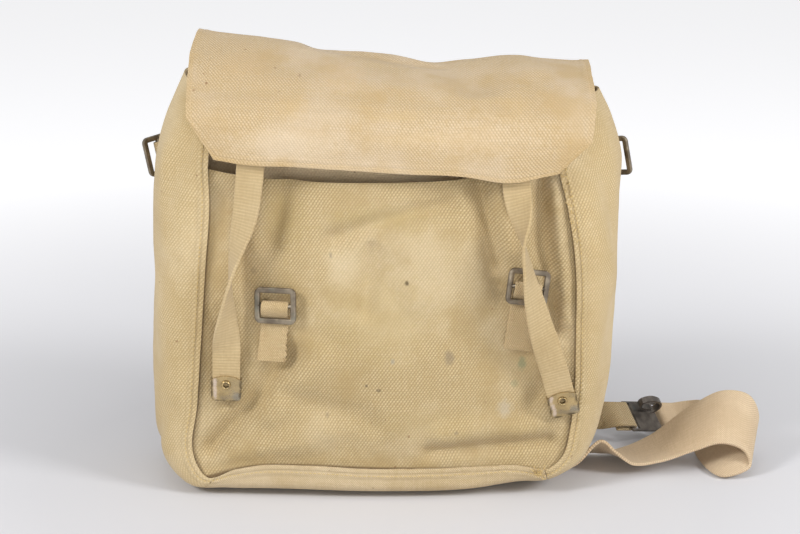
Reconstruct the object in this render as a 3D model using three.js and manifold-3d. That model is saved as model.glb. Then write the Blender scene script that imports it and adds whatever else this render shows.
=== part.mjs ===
// Canvas military rucksack: stuffed body, lid flap, closing straps, buckles and a carrying strap.
// Millimetres, +Z up, front towards -Y, origin on the ground under the middle of the base.

import * as THREE from "three";
import { mergeVertices } from "three/addons/utils/BufferGeometryUtils.js";
import Module from "manifold-3d";

const manifold = await Module();
manifold.setup();

const CLOTH = 2.0;
const WEBBING = 2.2;
const STRAP_WIDTH = 19.5;
const AIR = 0.5;

// A body panel runs this far under a gusset's edge, and this far behind it.
const TUCK = 5.0;
const SEAM_STEP = CLOTH + 2;

const FRONT_BULGE = 15;
const BACK_BULGE = 4;
const MOUTH_SAG = 11.5;

const DIVIDER_LOW = 4.5;
const DIVIDER_HIGH = 243;
const DIVIDER_BOW = 18;
const DIVIDER_LEAN = 17;

// The gusset strip goes down the left side, under the base and up the right side.
// Columns: front seam, back seam, outermost point at mid depth, and squareness of the section.
const GUSSET_ROWS = [
  { fx: -112, fy: -22, fz: 288, bx: -128, by: 44, bz: 296, ex: -141, ez: 295, square: 2.2 },
  { fx: -118, fy: -38, fz: 266, bx: -136, by: 51, bz: 262, ex: -154, ez: 268, square: 2.2 },
  { fx: -121, fy: -45, fz: 241, bx: -140, by: 52, bz: 236, ex: -162, ez: 240, square: 2.3 },
  { fx: -121, fy: -46, fz: 210, bx: -142, by: 52, bz: 208, ex: -165, ez: 210, square: 2.4 },
  { fx: -125, fy: -46, fz: 165, bx: -142, by: 52, bz: 165, ex: -167, ez: 165, square: 2.4 },
  { fx: -129, fy: -47, fz: 115, bx: -142, by: 52, bz: 115, ex: -169.2, ez: 115, square: 2.4 },
  { fx: -133, fy: -48, fz: 68, bx: -142, by: 52, bz: 68, ex: -169.4, ez: 66, square: 2.4 },
  { fx: -137, fy: -50, fz: 32, bx: -140, by: 52, bz: 34, ex: -165, ez: 26, square: 2.6 },
  { fx: -126, fy: -54, fz: 14, bx: -129, by: 51, bz: 17, ex: -146, ez: 6, square: 3.2 },
  { fx: -107, fy: -57, fz: 21, bx: -111, by: 51, bz: 15, ex: -114, ez: 0.6, square: 4.5 },
  { fx: -86, fy: -59, fz: 25.5, bx: -88, by: 52, bz: 16, ex: -86, ez: 0.2, square: 6 },
  { fx: 0, fy: -62, fz: 23.5, bx: 0, by: 53, bz: 16, ex: 0, ez: 0.2, square: 6.5 },
  { fx: 60, fy: -59, fz: 24, bx: 60, by: 53, bz: 16, ex: 60, ez: 0.4, square: 6 },
  { fx: 93, fy: -56, fz: 24.5, bx: 93, by: 52, bz: 19, ex: 94, ez: 5, square: 4.5 },
  { fx: 117, fy: -53, fz: 20.5, bx: 116, by: 52, bz: 24, ex: 121, ez: 9.5, square: 3.2 },
  { fx: 128.5, fy: -50, fz: 30, bx: 131, by: 52, bz: 34, ex: 145, ez: 20, square: 2.7 },
  { fx: 133, fy: -48, fz: 46, bx: 140, by: 52, bz: 50, ex: 157.5, ez: 40, square: 2.5 },
  { fx: 136, fy: -47, fz: 80, bx: 144, by: 52, bz: 82, ex: 165, ez: 78, square: 2.4 },
  { fx: 136, fy: -46, fz: 122, bx: 145, by: 52, bz: 122, ex: 168.5, ez: 122, square: 2.4 },
  { fx: 135, fy: -46, fz: 166, bx: 145, by: 52, bz: 166, ex: 169.5, ez: 168, square: 2.4 },
  { fx: 129, fy: -46, fz: 207, bx: 145, by: 52, bz: 208, ex: 169.5, ez: 210, square: 2.4 },
  { fx: 121, fy: -45, fz: 239, bx: 144, by: 52, bz: 236, ex: 169, ez: 240, square: 2.3 },
  { fx: 118, fy: -38, fz: 262, bx: 141, by: 51, bz: 260, ex: 162, ez: 264, square: 2.2 },
  { fx: 114, fy: -26, fz: 276, bx: 136, by: 45, bz: 280, ex: 152, ez: 284, square: 2.2 },
];
const LEFT_BACK_TOP = 1;
const LEFT_MOUTH = 2;
const LEFT_CORNER = 8;
const RIGHT_CORNER = 14;
const RIGHT_MOUTH = 21;
const RIGHT_BACK_TOP = 22;

// Half the gap where the base strip butts the gussets, as a share of the whole strip.
const BUTT_GAP = 0.0012;

// Folds of the front panel: a soft valley (depth above 0) or ridge along a line, x and z at its ends.
const FRONT_FOLDS = [
  { x1: 70, z1: 232, x2: 86, z2: 150, depth: 5.0, width: 13 },
  { x1: 108, z1: 228, x2: 124, z2: 130, depth: 5.0, width: 12 },
  { x1: 90, z1: 226, x2: 100, z2: 190, depth: -2.0, width: 11 },
  { x1: -122, z1: 38, x2: -62, z2: 84, depth: 4.5, width: 11 },
  { x1: -112, z1: 24, x2: -40, z2: 50, depth: -3.0, width: 12 },
  { x1: 32, z1: 34, x2: 118, z2: 40, depth: 4.0, width: 7 },
  { x1: 40, z1: 48, x2: 112, z2: 54, depth: -3.0, width: 9 },
  { x1: -38, z1: 188, x2: 40, z2: 214, depth: 3.5, width: 16 },
  { x1: -108, z1: 215, x2: -100, z2: 140, depth: 3.0, width: 11 },
  { x1: -10, z1: 130, x2: 8, z2: 60, depth: -2.0, width: 26 },
];

// The lid from its back hem, over the crest and down to the front lip.
// Columns: y, heights at four places from left to right, side edges, and how far the sides wrap back.
const LID_ROWS = [
  { y: 58, z1: 253, z2: 253, z3: 253, z4: 253, left: -135, right: 145, wrap: 0 },
  { y: 58, z1: 282, z2: 275, z3: 270, z4: 269, left: -135, right: 146, wrap: 0 },
  { y: 52, z1: 310, z2: 300, z3: 291, z4: 290, left: -134, right: 148, wrap: 0 },
  { y: 38, z1: 323.5, z2: 312, z3: 302, z4: 301, left: -133.5, right: 148.5, wrap: 0 },
  { y: -8, z1: 313, z2: 304, z3: 297, z4: 296, left: -136, right: 147, wrap: 1 },
  { y: -46, z1: 291, z2: 286, z3: 281, z4: 280, left: -135, right: 147, wrap: 4 },
  { y: -62, z1: 275, z2: 266, z3: 259, z4: 258, left: -134, right: 143, wrap: 6 },
  { y: -64, z1: 247.5, z2: 241, z3: 237, z4: 238, left: -115.5, right: 120, wrap: 6 },
];

// Folds of the lid, as for the front panel, in plan: x and y at the ends of each line.
const LID_FOLDS = [
  { x1: -46, y1: 34, x2: 40, y2: 14, depth: 5.0, width: 12 },
  { x1: 30, y1: 44, x2: 62, y2: -20, depth: 4.0, width: 17 },
  { x1: 90, y1: 40, x2: 104, y2: 0, depth: -3.5, width: 18 },
  { x1: -120, y1: -40, x2: 120, y2: -46, depth: 1.5, width: 9 },
];

// Each closing strap pulls the lip down where it is sewn.
const LIP_PULLS = [
  { x: -92, drop: 2.0, width: 22 },
  { x: 87, drop: 6.2, width: 26 },
];

// Closing straps: centre line from under the lid to the tip, with the turn of the web in degrees.
const LEFT_STRAP_ROWS = [
  { x: -90, y: -57.5, z: 258, turn: 0 },
  { x: -91, y: -57.8, z: 240, turn: 4 },
  { x: -95.5, y: -59, z: 206, turn: 30 },
  { x: -103, y: -61, z: 178, turn: 66 },
  { x: -107, y: -62, z: 156, turn: 92 },
  { x: -109.5, y: -61, z: 130, turn: 132 },
  { x: -110.4, y: -57.4, z: 108, turn: 180 },
  { x: -111, y: -55.8, z: 92, turn: 180 },
  { x: -111.6, y: -54.2, z: 76, turn: 180 },
];
const RIGHT_STRAP_ROWS = [
  { x: 91, y: -57, z: 246, turn: 0 },
  { x: 92, y: -58, z: 226, turn: 6 },
  { x: 95, y: -66, z: 206, turn: 50 },
  { x: 97, y: -70, z: 188, turn: 94 },
  { x: 102, y: -71.5, z: 160, turn: 120 },
  { x: 110, y: -68, z: 128, turn: 152 },
  { x: 119.8, y: -60.6, z: 97, turn: 180 },
  { x: 124.4, y: -57.4, z: 81, turn: 180 },
  { x: 129, y: -54.2, z: 65, turn: 180 },
];
const STRAP_STEPS = 24;

const TIP_WIDTH = 21;
const TIP_LENGTH = 19;
const TIP_SKIN = 1.0;
const TIP_SLACK = 0.6;
const TIP_OVERHANG = 3.2;
const TIP_CORNER = 3.5;
const TIP_THICK = WEBBING + TIP_SLACK + 2 * TIP_SKIN;
const RIVET_HEIGHT = 9;
const RIVET_SHANK = 2.2;
const RIVET_BORE = 1.3;
const RIVET_FLANGE = 3.5;

const BUCKLE_WIDTH = 30;
const BUCKLE_HEIGHT = 26;
const BUCKLE_THICK = 3;
const BUCKLE_SIDE_RAIL = 4.2;
const BUCKLE_END_RAIL = 3.8;
const BUCKLE_CORNER = 4;
const BAR_RADIUS = 1.5;
const TAB_LAYER = 1.5;
const TAB_WIDTH = 19.4;
const TAB_FRONT = BUCKLE_THICK / 2 + 0.4;
const TAB_BACK = TAB_FRONT + 2 * TAB_LAYER;

// Buckles: bar centre seen from the front, lean of buckle and tab in degrees, skew of the tab alone,
// and length of tab below the bar.
const FRONT_BUCKLES = [
  { side: "left", x: -74, z: 143, lean: 0, skew: 6, length: 41 },
  { side: "right", x: 100, z: 155, lean: 8, skew: 0, length: 46 },
];
const SIDE_BUCKLES = [
  { side: "left", x: -168, z: 229, outward: -1, lean: -11, length: 45 },
  { side: "right", x: 173, z: 228, outward: 1, lean: 11, length: 45 },
];
const SIDE_BUCKLE_SWING = -40;
const SIDE_TAB_SEAT = 53.6;

// The hook plate leans back on its lower edge, rolled about its height; a web end folds through each slot.
const PLATE_CENTRE = new THREE.Vector3(204, 72, 17.4);
const PLATE_HEADING = 115;
const PLATE_RISE = 40;
const PLATE_ROLL = 15;
const PLATE_THICK = 2;
const PLATE_LENGTH = 40;
const PLATE_HEIGHT = 27;
const PLATE_BAR = 2.2;
const PLATE_SLOT = 6;
const PLATE_SLOT_HEIGHT = 23.6;
const PLATE_WEB = 22;
const FOLD_RUN = 14;

// The hook is a strip bent up from the plate, back over it and in again: along the plate and out of it.
const HOOK_TOP = 8;
const HOOK_WIDTH = 5;
const HOOK_ROWS = [
  { x: 5, z: 0.2 },
  { x: 10, z: 2 },
  { x: 12, z: 7 },
  { x: 9, z: 12.5 },
  { x: 2, z: 15.5 },
  { x: -5, z: 16 },
  { x: -10.5, z: 12.5 },
  { x: -8.5, z: 7.5 },
  { x: -2, z: 5.2 },
  { x: 4, z: 5 },
];

// Carrying strap: centre line, rise of the cross direction above level, its heading, and the width.
const CARRYING_ROWS = [
  { x: 112, y: 6, z: 3.6, rise: 0, heading: 90, width: 50 },
  { x: 141, y: 7, z: 6.6, rise: -9, heading: 90, width: 50 },
  { x: 159.5, y: 8, z: 15.5, rise: -29, heading: 92, width: 50 },
  { x: 169, y: 7, z: 11.4, rise: -20, heading: 94, width: 50 },
  { x: 182, y: 9, z: 7.2, rise: -7, heading: 94, width: 50 },
  { x: 204, y: 12, z: 12.5, rise: 3, heading: 90, width: 50 },
  { x: 231, y: 11, z: 28.5, rise: 21, heading: 86, width: 50 },
  { x: 253, y: 9, z: 38.5, rise: 33, heading: 80, width: 50 },
  { x: 271, y: 6, z: 34.5, rise: 37, heading: 76, width: 50 },
  { x: 276, y: 3, z: 20, rise: 30, heading: 72, width: 49 },
  { x: 259, y: -2, z: 11.4, rise: 23, heading: 62, width: 46 },
  { x: 252, y: 20, z: 15, rise: 38, heading: 32, width: 41 },
  { x: 248, y: 46, z: 17, rise: 56, heading: 16, width: 34 },
  { x: 250, y: 70, z: 17, rise: 56, heading: 24, width: 28 },
  { x: 245, y: 87, z: 14.6, rise: 48, heading: 66, width: 24 },
];

// Short web from the bag's back lower right corner to the plate.
const LOWER_TAB_ROWS = [
  { x: 112, y: 56.2, z: 30, rise: 90, heading: 110, width: PLATE_WEB },
  { x: 140, y: 59.5, z: 26.5, rise: 86, heading: 110, width: PLATE_WEB },
  { x: 160, y: 57.5, z: 23.5, rise: 68, heading: 112, width: PLATE_WEB },
];

const canvas = new THREE.MeshStandardMaterial({ color: 0xd2bb92, roughness: 0.95, metalness: 0 });
const ribbedCanvas = new THREE.MeshStandardMaterial({ color: 0xcdb694, roughness: 0.95, metalness: 0 });
const webbing = new THREE.MeshStandardMaterial({ color: 0xc6ad85, roughness: 0.92, metalness: 0 });
const agedBrass = new THREE.MeshStandardMaterial({ color: 0x8b7a5e, roughness: 0.5, metalness: 0.8 });
const darkBrass = new THREE.MeshStandardMaterial({ color: 0x60574c, roughness: 0.5, metalness: 0.8 });

const rucksack = new THREE.Group();
rucksack.name = "military_rucksack";

function radians(degrees) {
  return THREE.MathUtils.degToRad(degrees);
}

function addPiece(name, geometry, material, group = rucksack) {
  const mesh = new THREE.Mesh(geometry, material);
  mesh.name = name;
  group.add(mesh);
}

// A group of the rucksack whose own axes are those of a frame.
function framedGroup(frame) {
  const group = new THREE.Group();
  group.applyMatrix4(frame);
  rucksack.add(group);
  return group;
}

// Smooth curve through three columns of a table; row k of n lies at parameter k / (n - 1).
function columnCurve(rows, first, second, third) {
  return new THREE.CatmullRomCurve3(
    rows.map((row) => new THREE.Vector3(row[first] ?? 0, row[second] ?? 0, row[third] ?? 0)),
  );
}

// Parameter of a path as a function of the share of its length, from 0 to 1.
function evenParameter(path, from, to) {
  const samples = 80;
  const stops = [0];
  let before = path(from);
  for (let k = 1; k <= samples; k++) {
    const here = path(from + ((to - from) * k) / samples);
    stops.push(stops[k - 1] + here.distanceTo(before));
    before = here;
  }
  return (share) => {
    const goal = share * stops[samples];
    let k = 1;
    while (k < samples && stops[k] < goal) {
      k++;
    }
    const inside = (goal - stops[k - 1]) / (stops[k] - stops[k - 1]);
    return from + ((to - from) * (k - 1 + inside)) / samples;
  };
}

// The same path, run through at even spacing.
function evenly(path, from, to) {
  const parameter = evenParameter(path, from, to);
  return (share) => path(parameter(share));
}

function surfaceNormal(surface, u, v) {
  const step = 2e-3;
  const u1 = Math.max(u - step, 0);
  const u2 = Math.min(u + step, 1);
  const v1 = Math.max(v - step, 0);
  const v2 = Math.min(v + step, 1);
  const acrossWay = surface(u2, v).sub(surface(u1, v));
  const alongWay = surface(u, v2).sub(surface(u, v1));
  return acrossWay.cross(alongWay).normalize();
}

// A closed cloth wall of even thickness about a surface point function of u and v.
function clothWall(surface, stepsU, stepsV, thickness) {
  const positions = [];
  for (const side of [-0.5, 0.5]) {
    for (let j = 0; j <= stepsV; j++) {
      for (let i = 0; i <= stepsU; i++) {
        const u = i / stepsU;
        const v = j / stepsV;
        const point = surface(u, v);
        point.addScaledVector(surfaceNormal(surface, u, v), side * thickness);
        positions.push(point.x, point.y, point.z);
      }
    }
  }
  const layer = (stepsU + 1) * (stepsV + 1);
  const at = (side, i, j) => side * layer + j * (stepsU + 1) + i;
  const index = [];
  const quad = (a, b, c, d) => index.push(a, b, c, a, c, d);
  for (let j = 0; j < stepsV; j++) {
    for (let i = 0; i < stepsU; i++) {
      quad(at(1, i, j), at(1, i + 1, j), at(1, i + 1, j + 1), at(1, i, j + 1));
      quad(at(0, i, j), at(0, i, j + 1), at(0, i + 1, j + 1), at(0, i + 1, j));
    }
  }
  for (let i = 0; i < stepsU; i++) {
    quad(at(0, i, 0), at(0, i + 1, 0), at(1, i + 1, 0), at(1, i, 0));
    quad(at(0, i + 1, stepsV), at(0, i, stepsV), at(1, i, stepsV), at(1, i + 1, stepsV));
  }
  for (let j = 0; j < stepsV; j++) {
    quad(at(0, 0, j + 1), at(0, 0, j), at(1, 0, j), at(1, 0, j + 1));
    quad(at(0, stepsU, j), at(0, stepsU, j + 1), at(1, stepsU, j + 1), at(1, stepsU, j));
  }
  const geometry = new THREE.BufferGeometry();
  geometry.setAttribute("position", new THREE.Float32BufferAttribute(positions, 3));
  geometry.setIndex(index);
  return geometry;
}

function toSolid(geometry) {
  const bare = new THREE.BufferGeometry();
  bare.setAttribute("position", geometry.attributes.position.clone());
  bare.setIndex(geometry.index);
  const welded = mergeVertices(bare, 1e-4);
  return new manifold.Manifold(
    new manifold.Mesh({
      numProp: 3,
      vertProperties: Float32Array.from(welded.attributes.position.array),
      triVerts: Uint32Array.from(welded.index.array),
    }),
  );
}

function toGeometry(solid) {
  const mesh = solid.getMesh();
  const geometry = new THREE.BufferGeometry();
  geometry.setAttribute("position", new THREE.BufferAttribute(mesh.vertProperties, 3));
  geometry.setIndex(new THREE.BufferAttribute(mesh.triVerts, 1));
  return geometry;
}

function foldDepth(folds, first, second, a, b) {
  let depth = 0;
  for (const fold of folds) {
    const start = new THREE.Vector2(fold[`${first}1`], fold[`${second}1`]);
    const run = new THREE.Vector2(fold[`${first}2`], fold[`${second}2`]).sub(start);
    const place = new THREE.Vector2(a, b).sub(start);
    const share = THREE.MathUtils.clamp(place.dot(run) / run.lengthSq(), 0, 1);
    const away = place.addScaledVector(run, -share).length() / fold.width;
    depth += fold.depth * Math.exp(-away * away);
  }
  return depth;
}

// Gussets and base: one strip whose section bows out from the front seam to the back seam.

const frontSeam = columnCurve(GUSSET_ROWS, "fx", "fy", "fz");
const backSeam = columnCurve(GUSSET_ROWS, "bx", "by", "bz");
const outerEdge = columnCurve(GUSSET_ROWS, "ex", "square", "ez");
const rowShare = (row) => row / (GUSSET_ROWS.length - 1);

function outwardAt(share) {
  const middle = frontSeam.getPoint(share).add(backSeam.getPoint(share)).multiplyScalar(0.5);
  const edge = outerEdge.getPoint(share);
  return new THREE.Vector3(edge.x - middle.x, 0, edge.z - middle.z);
}

function signedPower(value, power) {
  return Math.sign(value) * Math.abs(value) ** power;
}

function gussetPoint(share, across) {
  const angle = across * Math.PI;
  const power = 2 / outerEdge.getPoint(share).y;
  const depth = (1 - signedPower(Math.cos(angle), power)) / 2;
  const reach = signedPower(Math.sin(angle), power);
  const point = frontSeam.getPoint(share).lerp(backSeam.getPoint(share), depth);
  point.addScaledVector(outwardAt(share), reach);
  point.z = Math.max(point.z, CLOTH / 2);
  return point;
}

function gussetWall(fromShare, toShare, stepsAcross, stepsAlong) {
  const surface = (u, v) => gussetPoint(THREE.MathUtils.lerp(fromShare, toShare, v), u);
  return clothWall(surface, stepsAcross, stepsAlong, CLOTH);
}

const leftButt = rowShare(LEFT_CORNER + 0.35);
const rightButt = rowShare(RIGHT_CORNER - 0.1);
addPiece("side_gusset_left", gussetWall(0, leftButt - BUTT_GAP, 11, 15), canvas);
addPiece("base_strip", gussetWall(leftButt + BUTT_GAP, rightButt - BUTT_GAP, 12, 10), ribbedCanvas);
addPiece("side_gusset_right", gussetWall(rightButt + BUTT_GAP, 1, 11, 16), canvas);

// Front and back panels: patches filled in between the seams and a free top edge.

function tuckedSeam(seam, inward, fromRow, toRow) {
  const path = (share) => {
    const point = seam.getPoint(share).addScaledVector(outwardAt(share).normalize(), TUCK);
    point.y += inward * SEAM_STEP;
    return point;
  };
  return evenly(path, rowShare(fromRow), rowShare(toRow));
}

function patchPoint(edges, u, v) {
  const point = edges.bottom(u).multiplyScalar(1 - v);
  point.addScaledVector(edges.top(u), v);
  point.addScaledVector(edges.left(v), 1 - u);
  point.addScaledVector(edges.right(v), u);
  point.addScaledVector(edges.bottom(0), -(1 - u) * (1 - v));
  point.addScaledVector(edges.bottom(1), -u * (1 - v));
  point.addScaledVector(edges.top(0), -(1 - u) * v);
  point.addScaledVector(edges.top(1), -u * v);
  return point;
}

function topEdge(left, right, sag) {
  return (u) => {
    const point = left(1).lerp(right(1), u);
    point.z -= sag * Math.max(Math.sin(Math.PI * u ** 0.75), 0) ** 0.6;
    return point;
  };
}

const frontEdges = {
  bottom: tuckedSeam(frontSeam, 1, LEFT_CORNER, RIGHT_CORNER),
  left: tuckedSeam(frontSeam, 1, LEFT_CORNER, LEFT_MOUTH),
  right: tuckedSeam(frontSeam, 1, RIGHT_CORNER, RIGHT_MOUTH),
};
frontEdges.top = topEdge(frontEdges.left, frontEdges.right, MOUTH_SAG);

function frontPoint(u, v) {
  const point = patchPoint(frontEdges, u, v);
  const acrossSwell = Math.sin(Math.PI * u) ** 1.3;
  const upSwell = Math.sin(Math.PI * 0.72 * v ** 0.85);
  const clearOfSides = THREE.MathUtils.smoothstep(u * (1 - u), 0.02, 0.1);
  const clearOfBase = THREE.MathUtils.smoothstep(v, 0.03, 0.14);
  const fold = foldDepth(FRONT_FOLDS, "x", "z", point.x, point.z);
  point.y += clearOfSides * clearOfBase * fold - FRONT_BULGE * acrossSwell * upSwell;
  return point;
}
addPiece("front_panel", clothWall(frontPoint, 24, 19, CLOTH), canvas);

const backEdges = {
  bottom: tuckedSeam(backSeam, -1, LEFT_CORNER, RIGHT_CORNER),
  left: tuckedSeam(backSeam, -1, LEFT_CORNER, LEFT_BACK_TOP),
  right: tuckedSeam(backSeam, -1, RIGHT_CORNER, RIGHT_BACK_TOP),
};
backEdges.top = topEdge(backEdges.left, backEdges.right, 0);

function backPoint(u, v) {
  const point = patchPoint(backEdges, u, v);
  point.y += BACK_BULGE * Math.sin(Math.PI * u) ** 1.3 * Math.sin(Math.PI * v);
  return point;
}
addPiece("back_panel", clothWall(backPoint, 10, 9, CLOTH), canvas);

// Inner divider: a sheet across the middle of the bag, bowed forwards, its top leaning into the mouth.

function gussetInside(z, firstRow, lastRow) {
  let low = rowShare(firstRow);
  let high = rowShare(lastRow);
  for (let k = 0; k < 40; k++) {
    const middle = (low + high) / 2;
    if (outerEdge.getPoint(middle).z > z) {
      low = middle;
    } else {
      high = middle;
    }
  }
  return outerEdge.getPoint(low).x;
}

function dividerPoint(u, v) {
  const z = THREE.MathUtils.lerp(DIVIDER_LOW, DIVIDER_HIGH, v);
  const clear = CLOTH + 2 * AIR + 10 * (1 - v) ** 6;
  const left = gussetInside(z, 0, LEFT_CORNER + 1) + clear;
  const right = gussetInside(z, GUSSET_ROWS.length - 1, RIGHT_CORNER - 1) - clear;
  const lean = DIVIDER_LEAN * THREE.MathUtils.smoothstep(v, 0.7, 1);
  const bow = Math.sin(Math.PI * u) * (DIVIDER_BOW * (0.3 + 0.7 * v) + lean);
  return new THREE.Vector3(THREE.MathUtils.lerp(left, right, u), 3 - bow, z);
}
addPiece("inner_divider", clothWall(dividerPoint, 8, 8, CLOTH), canvas);

// Lid flap: four profile lines from the table, smoothed from side to side.

const lidLines = ["z1", "z2", "z3", "z4"].map((column) => columnCurve(LID_ROWS, "wrap", "y", column));

function lidEdge(column, along) {
  const place = along * (LID_ROWS.length - 1);
  const row = Math.min(Math.floor(place), LID_ROWS.length - 2);
  return THREE.MathUtils.lerp(LID_ROWS[row][column], LID_ROWS[row + 1][column], place - row);
}

function lidPoint(u, along) {
  const acrossCurve = new THREE.CatmullRomCurve3(lidLines.map((line) => line.getPoint(along)));
  const point = acrossCurve.getPoint(u);
  const wrap = point.x;
  point.x = THREE.MathUtils.lerp(lidEdge("left", along), lidEdge("right", along), u);
  point.y += wrap * (2 * u - 1) ** 4;
  const pastCrest = THREE.MathUtils.smoothstep(along, 0.28, 0.42);
  const downFront = THREE.MathUtils.smoothstep(along, 0.7, 0.85);
  point.z -= pastCrest * (1 - downFront) * foldDepth(LID_FOLDS, "x", "y", point.x, point.y);
  const atLip = THREE.MathUtils.smoothstep(along, 0.82, 1);
  for (const pull of LIP_PULLS) {
    point.z -= atLip * pull.drop * Math.exp(-(((point.x - pull.x) / pull.width) ** 2));
  }
  return point;
}
const lidAlong = evenParameter((along) => lidLines[1].getPoint(along), 0, 1);
addPiece("lid_flap", clothWall((u, v) => lidPoint(u, lidAlong(v)), 16, 20, CLOTH), canvas);

// Closing straps with their folded brass tips and hollow rivets.

function strapPoint(rows, u, v) {
  const centreLine = columnCurve(rows, "x", "y", "z");
  const turn = radians(columnCurve(rows, "turn").getPoint(v).x);
  const tangent = centreLine.getTangent(v);
  const level = new THREE.Vector3(1, 0, 0).addScaledVector(tangent, -tangent.x).normalize();
  const edgeways = tangent.clone().cross(level);
  const across = level.multiplyScalar(Math.cos(turn)).addScaledVector(edgeways, Math.sin(turn));
  return centreLine.getPoint(v).addScaledVector(across, (u - 0.5) * STRAP_WIDTH);
}

// Axes at the strap's end: x across the web, y through it towards the bag, z back up the strap.
function strapEndFrame(rows) {
  const end = rows[rows.length - 1];
  const before = rows[rows.length - 2];
  const foot = new THREE.Vector3(end.x, end.y, end.z);
  const up = new THREE.Vector3(before.x, before.y, before.z).sub(foot).normalize();
  const through = up.clone().cross(new THREE.Vector3(1, 0, 0)).normalize();
  const across = through.clone().cross(up);
  return new THREE.Matrix4().makeBasis(across, through, up).setPosition(foot);
}

function tipOutline() {
  const half = TIP_WIDTH / 2;
  const shape = new THREE.Shape();
  shape.moveTo(-half + TIP_CORNER, -TIP_OVERHANG);
  shape.lineTo(half - TIP_CORNER, -TIP_OVERHANG);
  shape.quadraticCurveTo(half, -TIP_OVERHANG, half, -TIP_OVERHANG + TIP_CORNER);
  shape.lineTo(half, TIP_LENGTH - TIP_OVERHANG - 3);
  shape.quadraticCurveTo(0, TIP_LENGTH - TIP_OVERHANG + 3, -half, TIP_LENGTH - TIP_OVERHANG - 3);
  shape.lineTo(-half, -TIP_OVERHANG + TIP_CORNER);
  shape.quadraticCurveTo(-half, -TIP_OVERHANG, -half + TIP_CORNER, -TIP_OVERHANG);
  return shape;
}

function extrudeThroughY(shape, depth, curveSegments, bevel) {
  const geometry = new THREE.ExtrudeGeometry(shape, {
    depth: depth - 2 * bevel,
    curveSegments,
    bevelEnabled: bevel > 0,
    bevelThickness: bevel,
    bevelSize: bevel,
    bevelOffset: -bevel,
    bevelSegments: 1,
  });
  geometry.translate(0, 0, bevel - depth / 2);
  return geometry.rotateX(Math.PI / 2);
}

function rivetGeometry() {
  const rim = TIP_THICK / 2 + 0.35;
  const profile = [
    [RIVET_BORE, -rim - 0.9],
    [RIVET_FLANGE, -rim - 0.9],
    [RIVET_FLANGE, -rim],
    [RIVET_SHANK, -rim],
    [RIVET_SHANK, rim],
    [RIVET_FLANGE, rim],
    [RIVET_FLANGE, rim + 0.9],
    [RIVET_BORE, rim + 0.9],
    [RIVET_BORE, -rim - 0.9],
  ].map(([radius, height]) => new THREE.Vector2(radius, height));
  return new THREE.LatheGeometry(profile, 10).translate(0, 0, RIVET_HEIGHT);
}

function addClosingStrap(side, rows) {
  const frame = strapEndFrame(rows);
  const end = framedGroup(frame);
  const hole = new THREE.CylinderGeometry(RIVET_SHANK + 0.35, RIVET_SHANK + 0.35, 20, 10);
  hole.translate(0, 0, RIVET_HEIGHT);
  const web = clothWall((u, v) => strapPoint(rows, u, v), 2, STRAP_STEPS, WEBBING);
  const holeInWeb = hole.clone().applyMatrix4(frame);
  addPiece(`closing_strap_${side}`, toGeometry(toSolid(web).subtract(toSolid(holeInWeb))), webbing);

  // The sheet is folded along the left side and the foot, so its pocket is open at the right and the top.
  const pocket = new THREE.BoxGeometry(2 * TIP_WIDTH, WEBBING + TIP_SLACK, 2 * TIP_LENGTH);
  pocket.translate(TIP_WIDTH - STRAP_WIDTH / 2 - AIR / 2, 0, TIP_LENGTH - AIR);
  const skin = extrudeThroughY(tipOutline(), TIP_THICK, 5, 0);
  const tip = toSolid(skin).subtract(toSolid(pocket)).subtract(toSolid(hole));
  addPiece(`strap_tip_${side}`, toGeometry(tip), agedBrass, end);
  addPiece(`tip_rivet_${side}`, rivetGeometry(), agedBrass, end);
}
addClosingStrap("left", LEFT_STRAP_ROWS);
addClosingStrap("right", RIGHT_STRAP_ROWS);

// Buckles and the webbing tabs that hold them by the middle bar.
// Buckle axes: x along the bar, y towards the bag, z from the tab's sewn end to the free end.

function roundedRectangle(width, height, radius) {
  const shape = new THREE.Shape();
  const x = width / 2 - radius;
  const z = height / 2 - radius;
  shape.absarc(x, z, radius, 0, Math.PI / 2);
  shape.absarc(-x, z, radius, Math.PI / 2, Math.PI);
  shape.absarc(-x, -z, radius, Math.PI, Math.PI * 1.5);
  shape.absarc(x, -z, radius, Math.PI * 1.5, Math.PI * 2);
  return shape;
}

function buckleGeometry() {
  const shape = roundedRectangle(BUCKLE_WIDTH, BUCKLE_HEIGHT, BUCKLE_CORNER);
  const windowWidth = BUCKLE_WIDTH - 2 * BUCKLE_SIDE_RAIL;
  const windowHeight = BUCKLE_HEIGHT - 2 * BUCKLE_END_RAIL;
  shape.holes.push(roundedRectangle(windowWidth, windowHeight, BUCKLE_CORNER / 2));
  const rails = extrudeThroughY(shape, BUCKLE_THICK, 3, 0.6);
  const bar = new THREE.CylinderGeometry(BAR_RADIUS, BAR_RADIUS, windowWidth + 3, 8);
  return toGeometry(toSolid(rails).add(toSolid(bar.rotateZ(Math.PI / 2))));
}

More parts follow.
